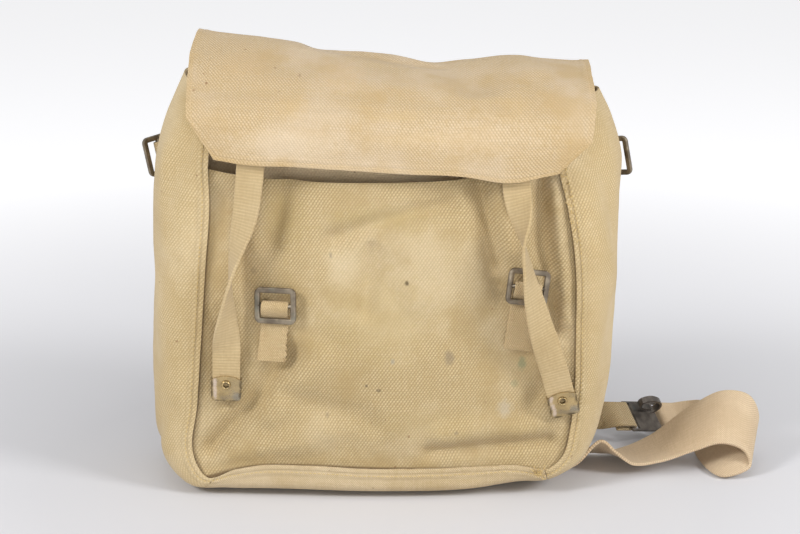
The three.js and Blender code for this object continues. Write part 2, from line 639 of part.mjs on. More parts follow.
// The tab's section: two layers sewn together, opening into a loop round the bar.
// A skewed tab hangs aslant from a level loop.
function tabGeometry(length, skew) {
  const eye = BAR_RADIUS + 0.4;
  const loop = eye + TAB_LAYER;
  const section = new THREE.Shape();
  section.moveTo(TAB_BACK, -length);
  section.lineTo(TAB_BACK, -BUCKLE_HEIGHT * 0.36);
  section.quadraticCurveTo(TAB_BACK - 0.4, -4, loop, 0);
  section.absarc(0, 0, loop, 0, Math.PI);
  section.quadraticCurveTo(-loop, -4.4, TAB_FRONT, -BUCKLE_HEIGHT * 0.32);
  section.lineTo(TAB_FRONT, -length);
  const hole = new THREE.Path();
  hole.absarc(0, 0, eye, 0, Math.PI * 2);
  section.holes.push(hole);
  const geometry = new THREE.ExtrudeGeometry(section, {
    depth: TAB_WIDTH,
    curveSegments: 7,
    bevelEnabled: false,
  });
  geometry.translate(0, 0, -TAB_WIDTH / 2);
  const axes = new THREE.Matrix4().makeBasis(
    new THREE.Vector3(0, 1, 0),
    new THREE.Vector3(0, 0, 1),
    new THREE.Vector3(1, 0, 0),
  );
  const aslant = new THREE.Matrix4().makeShear(0, 0, 0, 0, Math.tan(radians(skew)), 0);
  return geometry.applyMatrix4(axes).applyMatrix4(aslant);
}

function frontAt(x, z) {
  let u = 0.5;
  let v = 0.5;
  for (let k = 0; k < 25; k++) {
    const point = frontPoint(u, v);
    u = THREE.MathUtils.clamp(u + (x - point.x) / 270, 0, 1);
    v = THREE.MathUtils.clamp(v + (z - point.z) / 230, 0, 1);
  }
  return frontPoint(u, v);
}

for (const { side, x, z, lean, skew, length } of FRONT_BUCKLES) {
  const reach = 14;
  const right = frontAt(x + reach, z).sub(frontAt(x - reach, z)).normalize();
  const up = frontAt(x, z + reach).sub(frontAt(x, z - 2 * reach)).normalize();
  const inward = up.clone().cross(right).normalize();
  const across = right.clone().applyAxisAngle(inward, radians(lean));
  const upward = across.clone().cross(inward).normalize();
  const centre = frontAt(x, z);
  let lift = 0;
  for (let down = -10; down <= length; down += 3) {
    for (let aside = -TAB_WIDTH / 2; aside <= TAB_WIDTH / 2; aside += TAB_WIDTH / 4) {
      const slant = down * Math.tan(radians(skew));
      const spot = centre.clone().addScaledVector(across, aside - slant).addScaledVector(upward, -down);
      lift = Math.max(lift, spot.sub(frontAt(spot.x, spot.z)).dot(inward));
    }
  }
  centre.addScaledVector(inward, -(lift + CLOTH / 2 + AIR + TAB_BACK));
  const holder = framedGroup(new THREE.Matrix4().makeBasis(across, inward, upward).setPosition(centre));
  addPiece(`buckle_tab_${side}`, tabGeometry(length, skew), webbing, holder);
  addPiece(`front_buckle_${side}`, buckleGeometry(), agedBrass, holder);
}

for (const { side, x, z, outward, lean, length } of SIDE_BUCKLES) {
  const away = new THREE.Vector3(outward * Math.cos(radians(lean)), 0, Math.sin(radians(lean)));
  const towardsBag = new THREE.Vector3(0, -1, 0);
  const bar = towardsBag.clone().cross(away);
  const centre = new THREE.Vector3(x, SIDE_TAB_SEAT + TAB_BACK, z);
  const holder = framedGroup(new THREE.Matrix4().makeBasis(bar, towardsBag, away).setPosition(centre));
  addPiece(`side_tab_${side}`, tabGeometry(length, 0), webbing, holder);
  const swing = new THREE.Group();
  swing.rotation.x = radians(SIDE_BUCKLE_SWING);
  holder.add(swing);
  addPiece(`side_buckle_${side}`, buckleGeometry(), agedBrass, swing);
}

// Hook plate axes: x along the strap, y up the plate, z out of its front face.

const plateUp = crossDirection(PLATE_RISE, PLATE_HEADING);
const plateAlong = crossDirection(0, PLATE_HEADING - 90).applyAxisAngle(plateUp, radians(PLATE_ROLL));
const plateFace = plateAlong.clone().cross(plateUp);
const plateFrame = new THREE.Matrix4()
  .makeBasis(plateAlong, plateUp, plateFace)
  .setPosition(PLATE_CENTRE);

function crossDirection(rise, heading) {
  const level = Math.cos(radians(rise));
  return new THREE.Vector3(
    level * Math.cos(radians(heading)),
    level * Math.sin(radians(heading)),
    Math.sin(radians(rise)),
  );
}

function hookPlateGeometry() {
  const sheet = { depth: PLATE_THICK, curveSegments: 3, bevelEnabled: false };
  const outline = new THREE.ExtrudeGeometry(roundedRectangle(PLATE_LENGTH, PLATE_HEIGHT, 2), sheet);
  let plate = toSolid(outline.translate(0, 0, -PLATE_THICK / 2));
  for (const end of [-1, 1]) {
    const slot = new THREE.BoxGeometry(PLATE_SLOT, PLATE_SLOT_HEIGHT, 2 * PLATE_THICK);
    slot.translate(end * (PLATE_LENGTH / 2 - PLATE_BAR - PLATE_SLOT / 2), 0, 0);
    plate = plate.subtract(toSolid(slot));
  }

  const hookLine = columnCurve(HOOK_ROWS, "x", "y", "z");
  const hookPoint = (u, v) => {
    const point = hookLine.getPoint(v);
    point.y = HOOK_TOP - HOOK_WIDTH * u;
    return point;
  };
  const hook = clothWall(hookPoint, 1, 2 * HOOK_ROWS.length, PLATE_THICK);
  return toGeometry(plate.add(toSolid(hook)));
}

addPiece("hook_plate", hookPlateGeometry(), darkBrass, framedGroup(plateFrame));

// Rows that carry a web on through a plate slot: along the front, round the end bar and back behind.
function foldedEndRows(end, width) {
  const bar = end * (PLATE_LENGTH / 2 - PLATE_BAR / 2);
  const radius = PLATE_THICK / 2 + 0.8 + WEBBING / 2;
  const places = [
    [bar + end * FOLD_RUN, radius],
    [bar + (end * FOLD_RUN) / 2, radius],
  ];
  for (let angle = 0; angle <= 180; angle += 45) {
    places.push([bar - end * radius * Math.sin(radians(angle)), radius * Math.cos(radians(angle))]);
  }
  places.push([bar + (end * FOLD_RUN) / 2, -radius], [bar + end * FOLD_RUN, -radius]);
  return places.map(([x, z]) => {
    const point = new THREE.Vector3(x, 0, z).applyMatrix4(plateFrame);
    return { ...point, rise: PLATE_RISE, heading: PLATE_HEADING, width };
  });
}

function webGeometry(rows, stepsPerRow) {
  const centre = columnCurve(rows, "x", "y", "z");
  const shape = columnCurve(rows, "rise", "heading", "width");
  const surface = (u, v) => {
    const { x: rise, y: heading, z: width } = shape.getPoint(v);
    return centre.getPoint(v).addScaledVector(crossDirection(rise, heading), (u - 0.5) * width);
  };
  return clothWall(surface, 2, stepsPerRow * (rows.length - 1), WEBBING);
}
addPiece("lower_tab", webGeometry([...LOWER_TAB_ROWS, ...foldedEndRows(-1, PLATE_WEB)], 2), webbing);
addPiece("carrying_strap", webGeometry([...CARRYING_ROWS, ...foldedEndRows(1, PLATE_WEB)], 3), webbing);

export default rucksack;
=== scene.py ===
"""A faded canvas military rucksack: cloth, webbing and brass, dressed over its solid parts."""

import bisect
import functools
import math

import bmesh
import bpy
from mathutils import Matrix, Vector, noise


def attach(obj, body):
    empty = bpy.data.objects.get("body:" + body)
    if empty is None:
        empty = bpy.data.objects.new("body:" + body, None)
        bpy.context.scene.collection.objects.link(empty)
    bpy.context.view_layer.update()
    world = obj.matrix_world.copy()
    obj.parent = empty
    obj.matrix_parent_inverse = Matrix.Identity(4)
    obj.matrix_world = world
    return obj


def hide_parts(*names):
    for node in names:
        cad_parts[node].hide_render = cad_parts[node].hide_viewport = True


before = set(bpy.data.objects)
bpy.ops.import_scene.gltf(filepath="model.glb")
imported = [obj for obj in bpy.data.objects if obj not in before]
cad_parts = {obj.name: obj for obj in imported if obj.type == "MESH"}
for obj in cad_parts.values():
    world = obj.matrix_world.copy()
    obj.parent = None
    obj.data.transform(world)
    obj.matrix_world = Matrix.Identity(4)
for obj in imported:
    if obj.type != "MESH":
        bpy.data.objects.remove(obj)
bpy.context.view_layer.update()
scene = bpy.context.scene


# Camera and studio: a long lens a little above the bag and square to its front.
# The floor is one wide pale sheet, lit up away from the bag, under four soft lights and a white sky.
VIEW_DISTANCE = 1.3
VIEW_RISE = math.radians(14)
VIEW_TARGET = Vector((0.01165, 0.0, 0.1564))
LENS = 80.37
SENSOR = 36.0
FLOOR_REACH = 10.0
PAPER = (0.70, 0.70, 0.73, 1)
GLOW_START = 0.25
GLOW_FULL = 1.2
GLOW = 0.55
SKY = 0.42
SOFTBOXES = (
    ("left_softbox", (-1.6, -1.2, 1.4), (0, 0, 0.15), 0.6, 25),
    ("right_softbox", (1.7, -1.0, 1.2), (0, 0, 0.15), 0.6, 23.5),
    ("front_softbox", (0.2, -2.2, 0.45), (0, 0, 0.18), 0.9, 9),
    ("top_softbox", (0.0, -0.3, 2.1), (0, 0, 0.1), 1.0, 5),
)

camera = bpy.data.objects.new("camera", bpy.data.cameras.new("camera"))
camera.data.sensor_width = SENSOR
camera.data.lens = LENS
view_back = Vector((0, -math.cos(VIEW_RISE), math.sin(VIEW_RISE)))
camera.location = VIEW_TARGET + VIEW_DISTANCE * view_back
camera.rotation_euler = (math.pi / 2 - VIEW_RISE, 0, 0)
scene.collection.objects.link(camera)
scene.camera = camera
scene.view_settings.view_transform = "Standard"


def finished_object(name, mesh):
    """Turns a bmesh into a linked object with smooth faces and lets the bmesh go."""
    for face in mesh.faces:
        face.smooth = True
    data = bpy.data.meshes.new(name)
    mesh.to_mesh(data)
    mesh.free()
    made = bpy.data.objects.new(name, data)
    scene.collection.objects.link(made)
    return made


def add_node(tree, kind, inputs=(), **settings):
    """A shader node with its settings, and its inputs linked or set by name or number."""
    node = tree.nodes.new(kind)
    for key, value in settings.items():
        setattr(node, key, value)
    for key, value in dict(inputs).items():
        if isinstance(value, bpy.types.NodeSocket):
            tree.links.new(value, node.inputs[key])
        else:
            node.inputs[key].default_value = value
    return node


def vector_node(tree, operation, *values):
    """A vector worked out from others, or the one number that a length gives."""
    node = add_node(tree, "ShaderNodeVectorMath", enumerate(values), operation=operation)
    return node.outputs["Value" if operation == "LENGTH" else "Vector"]


def new_material(name, **shader_values):
    """A material, its node tree and its Principled shader, with plain values on the shader's sockets."""
    material = bpy.data.materials.new(name)
    material.use_nodes = True
    tree = material.node_tree
    shader = tree.nodes["Principled BSDF"]
    for key, value in shader_values.items():
        shader.inputs[key.replace("_", " ")].default_value = value
    return material, tree, shader


floor_mesh = bmesh.new()
bmesh.ops.create_grid(floor_mesh, x_segments=1, y_segments=1, size=FLOOR_REACH)
floor = finished_object("studio_floor", floor_mesh)
floor_paper, paper_tree, paper_shader = new_material(
    "floor_paper", Base_Color=PAPER, Roughness=0.9, Emission_Color=(1, 1, 1, 1)
)
paper_place = add_node(paper_tree, "ShaderNodeTexCoord").outputs["Object"]
paper_reach = vector_node(paper_tree, "LENGTH", paper_place)
paper_glow = add_node(
    paper_tree, "ShaderNodeMapRange", {0: paper_reach, 1: GLOW_START, 2: GLOW_FULL, 3: 0.0, 4: GLOW}
)
paper_tree.links.new(paper_glow.outputs[0], paper_shader.inputs["Emission Strength"])
floor.data.materials.append(floor_paper)

studio = bpy.data.worlds.new("studio")
studio.use_nodes = True
studio_sky = studio.node_tree.nodes["Background"]
studio_sky.inputs["Color"].default_value = (1, 1, 1, 1)
studio_sky.inputs["Strength"].default_value = SKY
scene.world = studio
for softbox, stand, aim, size, watts in SOFTBOXES:
    light = bpy.data.objects.new(softbox, bpy.data.lights.new(softbox, "AREA"))
    light.data.size = size
    light.data.energy = watts
    light.location = stand
    light.rotation_euler = (Vector(aim) - Vector(stand)).to_track_quat("-Z", "Y").to_euler()
    scene.collection.objects.link(light)


# Side gussets and base: one canvas strip goes down the left side, under the bag and up the right side.
# The base is a finer ribbed cloth butted to the gussets. Each long edge is turned in and sewn down over
# the front and back panels as a raised hem, and the gusset tops rise as ears under the lid.
MM = 0.001
CLOTH = 2.0
SOFT_EDGE = 0.28
HEM_WIDTH = 6.5
HEM_STITCH = 3.4
PUCKER_SIZE = 5.5
GROUND_TOUCH = 3
GROUND_CLEAR = 14
ARC_STEPS = 240
STRIP_COLUMNS = 64


def named_rows(names, *rows):
    """Rows of a table as dictionaries, by the names of its columns."""
    return [dict(zip(names.split(), row)) for row in rows]


GUSSET_ROWS = named_rows(
    "fx fy fz bx by bz ex ez square",
    (-112, -22, 288, -128, 44, 296, -141, 295, 2.2),
    (-118, -38, 266, -136, 51, 262, -154, 268, 2.2),
    (-121, -45, 241, -140, 52, 236, -162, 240, 2.3),
    (-121, -46, 210, -142, 52, 208, -165, 210, 2.4),
    (-125, -46, 165, -142, 52, 165, -167, 165, 2.4),
    (-129, -47, 115, -142, 52, 115, -169.2, 115, 2.4),
    (-133, -48, 68, -142, 52, 68, -169.4, 66, 2.4),
    (-137, -50, 32, -140, 52, 34, -165, 26, 2.6),
    (-126, -54, 14, -129, 51, 17, -146, 6, 3.2),
    (-107, -57, 21, -111, 51, 15, -114, 0.6, 4.5),
    (-86, -59, 25.5, -88, 52, 16, -86, 0.2, 6),
    (0, -62, 23.5, 0, 53, 16, 0, 0.2, 6.5),
    (60, -59, 24, 60, 53, 16, 60, 0.4, 6),
    (93, -56, 24.5, 93, 52, 19, 94, 5, 4.5),
    (117, -53, 20.5, 116, 52, 24, 121, 9.5, 3.2),
    (128.5, -50, 30, 131, 52, 34, 145, 20, 2.7),
    (133, -48, 46, 140, 52, 50, 157.5, 40, 2.5),
    (136, -47, 80, 144, 52, 82, 165, 78, 2.4),
    (136, -46, 122, 145, 52, 122, 168.5, 122, 2.4),
    (135, -46, 166, 145, 52, 166, 169.5, 168, 2.4),
    (129, -46, 207, 145, 52, 208, 169.5, 210, 2.4),
    (121, -45, 239, 144, 52, 236, 169, 240, 2.3),
    (118, -38, 262, 141, 51, 260, 162, 264, 2.2),
    (114, -26, 276, 136, 45, 280, 152, 284, 2.2),
)
LEFT_CORNER = 8
RIGHT_CORNER = 14
LEFT_BUTT = LEFT_CORNER + 0.35
RIGHT_BUTT = RIGHT_CORNER - 0.1
LAST_ROW = len(GUSSET_ROWS) - 1

# Soft folds of the gussets: y and z at the ends of each line, depth and width in millimetres.
LEFT_GUSSET_FOLDS = named_rows(
    "y1 z1 y2 z2 depth width",
    (-44, 262, -30, 214, 3.5, 8),
    (-22, 250, -34, 180, -2.0, 10),
    (-40, 60, -10, 20, 2.5, 9),
    (10, 150, -20, 90, 2.0, 16),
)
RIGHT_GUSSET_FOLDS = named_rows(
    "y1 z1 y2 z2 depth width",
    (-36, 250, -22, 190, 3.0, 9),
    (-40, 176, -22, 156, -1.2, 10),
    (-20, 130, -36, 70, 2.0, 12),
    (14, 200, 0, 110, 0.8, 18),
)


def smoothstep(low, high, value):
    """A smooth rise from 0 at the low value to 1 at the high one."""
    share = min(max((value - low) / (high - low), 0.0), 1.0)
    return share * share * (3 - 2 * share)


def smooth_through(rows, names):
    """Centripetal curve through the named columns; row k of n lies at the share k / (n - 1)."""
    points = [Vector(([row[name] for name in names.split()] + [0, 0])[:3]) for row in rows]
    run = [2 * points[0] - points[1], *points, 2 * points[-1] - points[-2]]

    def at(share):
        place = min(max(share, 0.0), 1.0) * (len(points) - 1)
        row = min(int(place), len(points) - 2)
        p0, p1, p2, p3 = run[row:row + 4]
        d1 = (p2 - p1).length ** 0.5 or 1.0
        d0 = (p1 - p0).length ** 0.5 or d1
        d2 = (p3 - p2).length ** 0.5 or d1
        t1 = ((p1 - p0) / d0 - (p2 - p0) / (d0 + d1) + (p2 - p1) / d1) * d1
        t2 = ((p2 - p1) / d1 - (p3 - p1) / (d1 + d2) + (p3 - p2) / d2) * d1
        w = place - row
        bend = 3 * (p2 - p1) - 2 * t1 - t2
        twist = 2 * (p1 - p2) + t1 + t2
        return p1 + w * (t1 + w * (bend + w * twist))

    return at


def run_lengths(points):
    """How far along a row of points each of them lies."""
    lengths = [0.0]
    for before, after in zip(points, points[1:]):
        lengths.append(lengths[-1] + (after - before).length)
    return lengths


def step_at(lengths, share):
    """The step of a row that a share of its length lies in, and the part of that step before it."""
    goal = min(max(share, 0.0), 1.0) * lengths[-1]
    step = min(max(bisect.bisect_right(lengths, goal), 1), len(lengths) - 1)
    size = lengths[step] - lengths[step - 1]
    return step, (goal - lengths[step - 1]) / size if size else 0.0


def even_path(points):
    """A dense row of points as a function of the share of its length, from 0 to 1."""
    lengths = run_lengths(points)

    def at(share):
        step, part = step_at(lengths, share)
        return points[step - 1].lerp(points[step], part)

    return at


def fold_depth(folds, names, a, b):
    """Depth of the folds at a place: the deepest valley there and the highest ridge, never two in one.
    names gives the two coordinates that the fold lines are drawn in."""
    first, second = names.split()
    valley, ridge = 0.0, 0.0
    for fold in folds:
        run_a = fold[first + "2"] - fold[first + "1"]
        run_b = fold[second + "2"] - fold[second + "1"]
        from_a = a - fold[first + "1"]
        from_b = b - fold[second + "1"]
        share = (from_a * run_a + from_b * run_b) / (run_a ** 2 + run_b ** 2)
        share = min(max(share, 0.0), 1.0)
        away = math.hypot(from_a - share * run_a, from_b - share * run_b) / fold["width"]
        here = fold["depth"] * math.exp(-away * away)
        valley, ridge = max(valley, here), min(ridge, here)
    return valley + ridge


def turned_hem(distance, lift=1.1, groove=0.5):
    """Height of a turned-in edge with a groove where its stitches pull it down."""
    raised = 1 - smoothstep(HEM_WIDTH - 0.9, HEM_WIDTH + 0.9, distance)
    return lift * raised - groove * math.exp(-((distance - HEM_STITCH) / 0.9) ** 2)


def waves(point, height, size):
    """Soft waves of cloth, with a height and a size in millimetres."""
    return height * noise.noise(point / size)


def pucker(point, distance, reach=9.0, height=0.7):
    """Small gathers that stitching leaves beside a seam."""
    return waves(point, height * math.exp(-distance / reach), PUCKER_SIZE)


def crowded(share):
    """The same share, with the steps four times closer together at both ends."""
    return share - 0.119 * math.sin(2 * math.pi * share)


def round_edges(made, name, width, segments, corner):
    """Rounds the edges of a piece that turn by more than a corner in degrees; width in millimetres."""
    edge = made.modifiers.new(name, "BEVEL")
    edge.width = width * MM
    edge.segments = segments
    edge.limit_method = "ANGLE"
    edge.angle_limit = math.radians(corner)


def cloth_wall(name, columns, rows, place, relief=None, thick=CLOTH, grain=None, seam=None):
    """A cloth sheet: a grid moved to place(u, v) in millimetres, with a thickness and a UV map.
    relief(point, left, right, low, high) lifts a vertex along its normal, by its distances to the edges.
    grain(point, across, along) lays the weave another way than along the sheet's own rows, and
    seam(left, right, low, high) is how much colour lies there, kept as an attribute: painted shade
    beside seams and hems, and a worn tint on the lid's rim.
    Also gives back a function of (u, v) for a point and normal on the sheet's middle."""
    mesh = bmesh.new()
    if seam:
        shade = mesh.verts.layers.float.new("Seam")
    uv_map = mesh.loops.layers.uv.new("Cloth")
    bmesh.ops.create_grid(mesh, x_segments=columns, y_segments=rows, size=0.5)
    grid = {}
    for vert in mesh.verts:
        u, v = vert.co.x + 0.5, vert.co.y + 0.5
        grid[round(u * columns), round(v * rows)] = vert
        vert.co = place(u, v)
    across, along = {}, {}
    for i in range(columns + 1):
        for j in range(rows + 1):
            here = grid[i, j].co
            across[i, j] = across[i - 1, j] + (here - grid[i - 1, j].co).length if i else 0.0
            along[i, j] = along[i, j - 1] + (here - grid[i, j - 1].co).length if j else 0.0
    reaches = {}
    for i, j in grid:
        left, low = across[i, j], along[i, j]
        reaches[i, j] = (left, across[columns, j] - left, low, along[i, rows] - low)
    if relief:
        mesh.normal_update()
        lifts = {vert: relief(vert.co, *reaches[key]) for key, vert in grid.items()}
        for vert, lift in lifts.items():
            vert.co += lift * vert.normal
    if seam:
        for key, vert in grid.items():
            vert[shade] = seam(*reaches[key])
    mesh.normal_update()
    points = {key: vert.co * MM for key, vert in grid.items()}
    normals = {key: vert.normal.copy() for key, vert in grid.items()}
    widths = [sum(across[i, j] for j in range(rows + 1)) / (rows + 1) for i in range(columns + 1)]
    lengths = [sum(along[i, j] for i in range(columns + 1)) / (columns + 1) for j in range(rows + 1)]
    for (i, j), vert in grid.items():
        threads = (widths[i] - widths[-1] / 2, lengths[j])
        if grain:
            threads = grain(vert.co, *threads)
        for loop in vert.link_loops:
            loop[uv_map].uv = threads
    bmesh.ops.scale(mesh, vec=(MM, MM, MM), verts=mesh.verts)
    made = finished_object(name, mesh)
    wall = made.modifiers.new("thickness", "SOLIDIFY")
    wall.thickness = thick * MM
    wall.offset = 0
    round_edges(made, "soft_edge", SOFT_EDGE * thick, 2, 55)

    def spot(u, v):
        i, j = min(int(u * columns), columns - 1), min(int(v * rows), rows - 1)
        a, b = u * columns - i, v * rows - j
        low = points[i, j].lerp(points[i + 1, j], a)
        high = points[i, j + 1].lerp(points[i + 1, j + 1], a)
        return low.lerp(high, b), normals[i, j]

    return made, spot


def dress(made, material, slot_name, *nodes, body="bag"):
    """Gives a piece its finish, the body that carries it and the solid parts that it stands for."""
    made.data.materials.append(material)
    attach(made, body)
    if nodes:
        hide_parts(*nodes)


def dress_cloth(made, cloth, slot_name, node, flat):
    """Dresses a sheet; the slot name and the flat size in metres that it was cut to are not used."""
    dress(made, cloth, slot_name, node)
    width, length = flat


front_seam = smooth_through(GUSSET_ROWS, "fx fy fz")
back_seam = smooth_through(GUSSET_ROWS, "bx by bz")
outer_edge = smooth_through(GUSSET_ROWS, "ex square ez")


@functools.lru_cache(maxsize=None)
def gusset_section(share):
    """Front and back seam points, the way out to the strip's crown, and the power that squares it."""
    front, back, edge = front_seam(share), back_seam(share), outer_edge(share)
    middle = (front + back) / 2
    return front, back, Vector((edge.x - middle.x, 0, edge.z - middle.z)), 2 / edge.y


def signed_power(value, power):
    """A power that keeps the sign, which squares off a sine or a cosine."""
    return math.copysign(abs(value) ** power, value)


@functools.lru_cache(maxsize=None)
def gusset_arc(share):
    """One section of the strip from the front seam to the back seam, by the share of its length."""
    front, back, outward, power = gusset_section(share)
    points = []
    for k in range(ARC_STEPS + 1):
        angle = math.pi * smoothstep(0, 1, k / ARC_STEPS)
        depth = (1 - signed_power(math.cos(angle), power)) / 2
        point = front.lerp(back, depth) + signed_power(math.sin(angle), power) * outward
        point.z = max(point.z, CLOTH / 2)
        points.append(point)
    return even_path(points)


def strip_wall(name, first_row, last_row, rows, folds):
    """A stretch of the strip between two rows of its table, hemmed along both seams."""
    def place(u, v):
        share = (first_row + (last_row - first_row) * v) / LAST_ROW
        return gusset_arc(share)(crowded(u))

    def relief(point, left, right, low, high):
        bulk = 0.9 + waves(point, 0.8, 13)
        lift = turned_hem(left, bulk, 0.6) + turned_hem(right, bulk, 0.6)
        lift += pucker(point, left) + pucker(point, right)
        lift += waves(point, 0.45, 32) + waves(point, 0.25, 11)
        inside = smoothstep(HEM_WIDTH, 2.5 * HEM_WIDTH, min(left, right))
        lift -= inside * fold_depth(folds, "y z", point.y, point.z)
        return lift * smoothstep(GROUND_TOUCH, GROUND_CLEAR, point.z)

    def hem_shade(left, right, low, high):
        edge = min(left, right)
        in_groove = math.exp(-((edge - HEM_STITCH) / 0.8) ** 2)
        return in_groove + 0.3 * math.exp(-((edge - HEM_WIDTH - 0.8) / 0.9) ** 2)

    return cloth_wall(name, STRIP_COLUMNS, rows, place, relief, seam=hem_shade)


# Weave: threads cross over and under, so the cloth shows rows of small raised dots, each row shifted
# by half a dot. Single threads vary in thickness and tone.
THREAD_WANDER = (1.6, 1.6, 0)


def math_node(tree, operation, *values):
    """A number worked out from others."""
    node = add_node(tree, "ShaderNodeMath", enumerate(values), operation=operation)
    return node.outputs[0]


def noise_value(tree, place, scale, detail=2.0):
    """Cloudy noise around a half."""
    node = add_node(tree, "ShaderNodeTexNoise", {"Vector": place, "Scale": scale, "Detail": detail})
    return node.outputs["Fac"]


def mix_colour(tree, share, first, second):
    """A share of the second colour laid over the first."""
    node = add_node(tree, "ShaderNodeMix", {"Factor": share}, data_type="RGBA")
    for socket, value in ((node.inputs[6], first), (node.inputs[7], second)):
        if isinstance(value, bpy.types.NodeSocket):
            tree.links.new(value, socket)
        else:
            socket.default_value = (*value, 1)
    return node.outputs[2]


def ranged(tree, value, low, high, to_low=0.0, to_high=1.0):
    """A number brought smoothly from one range into another."""
    node = add_node(tree, "ShaderNodeMapRange", {0: value, 1: low, 2: high, 3: to_low, 4: to_high})
    node.interpolation_type = "SMOOTHSTEP"
    return node.outputs[0]


def shader_group(name, inputs, outputs):
    """An empty shader node group with named sockets, its tree, its start sockets and its end sockets."""
    tree = bpy.data.node_groups.new(name, "ShaderNodeTree")
    for socket, kind in inputs.items():
        tree.interface.new_socket(socket, in_out="INPUT", socket_type=kind)
    for socket in outputs:
        tree.interface.new_socket(socket, in_out="OUTPUT", socket_type="NodeSocketFloat")
    start = tree.nodes.new("NodeGroupInput").outputs
    end = tree.nodes.new("NodeGroupOutput").inputs
    return tree, start, end


weave, weave_in, weave_out = shader_group(
    "Weave",
    {"Cloth": "NodeSocketVector", "Across": "NodeSocketFloat", "Along": "NodeSocketFloat"},
    ("Dot", "Thread", "Height"),
)
wander = add_node(
    weave, "ShaderNodeTexNoise", {"Vector": weave_in["Cloth"], "Scale": 0.045, "Detail": 1.0}
).outputs["Color"]
thread_place = vector_node(weave, "MULTIPLY_ADD", wander, THREAD_WANDER, weave_in["Cloth"])
thread_xyz = add_node(weave, "ShaderNodeSeparateXYZ", {0: thread_place}).outputs
column_turn = math_node(
    weave, "DIVIDE", math_node(weave, "MULTIPLY", thread_xyz[0], math.tau), weave_in["Across"]
)
row_turn = math_node(
    weave, "DIVIDE", math_node(weave, "MULTIPLY", thread_xyz[1], math.pi), weave_in["Along"]
)
rising = math_node(weave, "COSINE", math_node(weave, "SUBTRACT", column_turn, row_turn))
falling = math_node(weave, "COSINE", math_node(weave, "ADD", column_turn, row_turn))
slanted = math_node(weave, "MULTIPLY_ADD", rising, 0.52, math_node(weave, "MULTIPLY", falling, 0.26))
level = math_node(weave, "COSINE", math_node(weave, "MULTIPLY", row_turn, 2.0))
dot = ranged(weave, math_node(weave, "MULTIPLY_ADD", level, 0.22, slanted), -0.85, 0.85)
weft_place = vector_node(weave, "MULTIPLY_ADD", thread_place, (0.05, 0.9, 0), (0, 0, 7))
warp_place = vector_node(weave, "MULTIPLY_ADD", thread_place, (0.7, 0.05, 0), (0, 0, 3))
both_ways = math_node(
    weave, "ADD", noise_value(weave, weft_place, 1.0), noise_value(weave, warp_place, 1.0)
)
slub = noise_value(weave, thread_place, 0.5)
thread_tone = math_node(weave, "MULTIPLY", math_node(weave, "ADD", both_ways, slub), 0.333)
weave.links.new(dot, weave_out["Dot"])
weave.links.new(thread_tone, weave_out["Thread"])
weave.links.new(math_node(weave, "MULTIPLY_ADD", thread_tone, 0.5, dot), weave_out["Height"])

# Weathering: broad fading and finer grime in soft clouds, and small rust specks.
RUST = (0.20, 0.09, 0.03)
SPECK_SHARE = 0.55
weathering, weather_in, weather_out = shader_group(
    "Weathering", {"Place": "NodeSocketVector", "Shift": "NodeSocketVector"}, ("Fade", "Grime", "Speck")
)
weather_place = vector_node(weathering, "ADD", weather_in["Place"], weather_in["Shift"])
grime_place = vector_node(weathering, "ADD", weather_place, (5, 2, 8))
for mask, place, scale, detail, low, high in (
    ("Fade", weather_place, 14.0, 4.0, 0.42, 0.68),
    ("Grime", grime_place, 26.0, 5.0, 0.47, 0.68),
    ("Speck", weather_place, 190.0, 1.0, 0.77, 0.82),
):
    clouds = ranged(weathering, noise_value(weathering, place, scale, detail), low, high)
    weathering.links.new(clouds, weather_out[mask])

# Spot: a soft patch with a ragged rim at one place of the cloth or metal; it lays stains, and in some
# tables painted shadows and highlights.
spot_group, spot_in, spot_out = shader_group(
    "Spot", {name: "NodeSocketVector" for name in ("Place", "Centre", "Size")}, ("Mask",)
)
spot_from = vector_node(spot_group, "SUBTRACT", spot_in["Place"], spot_in["Centre"])
spot_sizes = vector_node(spot_group, "DIVIDE", spot_from, spot_in["Size"])
spot_reach = vector_node(spot_group, "LENGTH", spot_sizes)
spot_rag = noise_value(spot_group, spot_in["Place"], 260.0, 3.0)
spot_edge = math_node(spot_group, "MULTIPLY_ADD", spot_rag, 1.1, spot_reach)
spot_group.links.new(ranged(spot_group, spot_edge, 1.55, 0.75), spot_out["Mask"])
SPOT_COLUMNS = "x y z width depth height tone strength"


def stains_and_painted_light(tree, place, colour, spots):
    """Lays spots over a colour, stains and some painted shadows and highlights; each has a centre and a
    size in millimetres, a tone and a strength.
    """
    for spot in spots:
        centre = [spot[name] * MM for name in ("x", "y", "z")]
        size = [spot[name] * MM for name in ("width", "depth", "height")]
        where = {"Place": place, "Centre": centre, "Size": size}
        mask = add_node(tree, "ShaderNodeGroup", where, node_tree=spot_group).outputs["Mask"]
        share = math_node(tree, "MULTIPLY", mask, spot["strength"])
        colour = mix_colour(tree, share, colour, spot["tone"])
    return colour


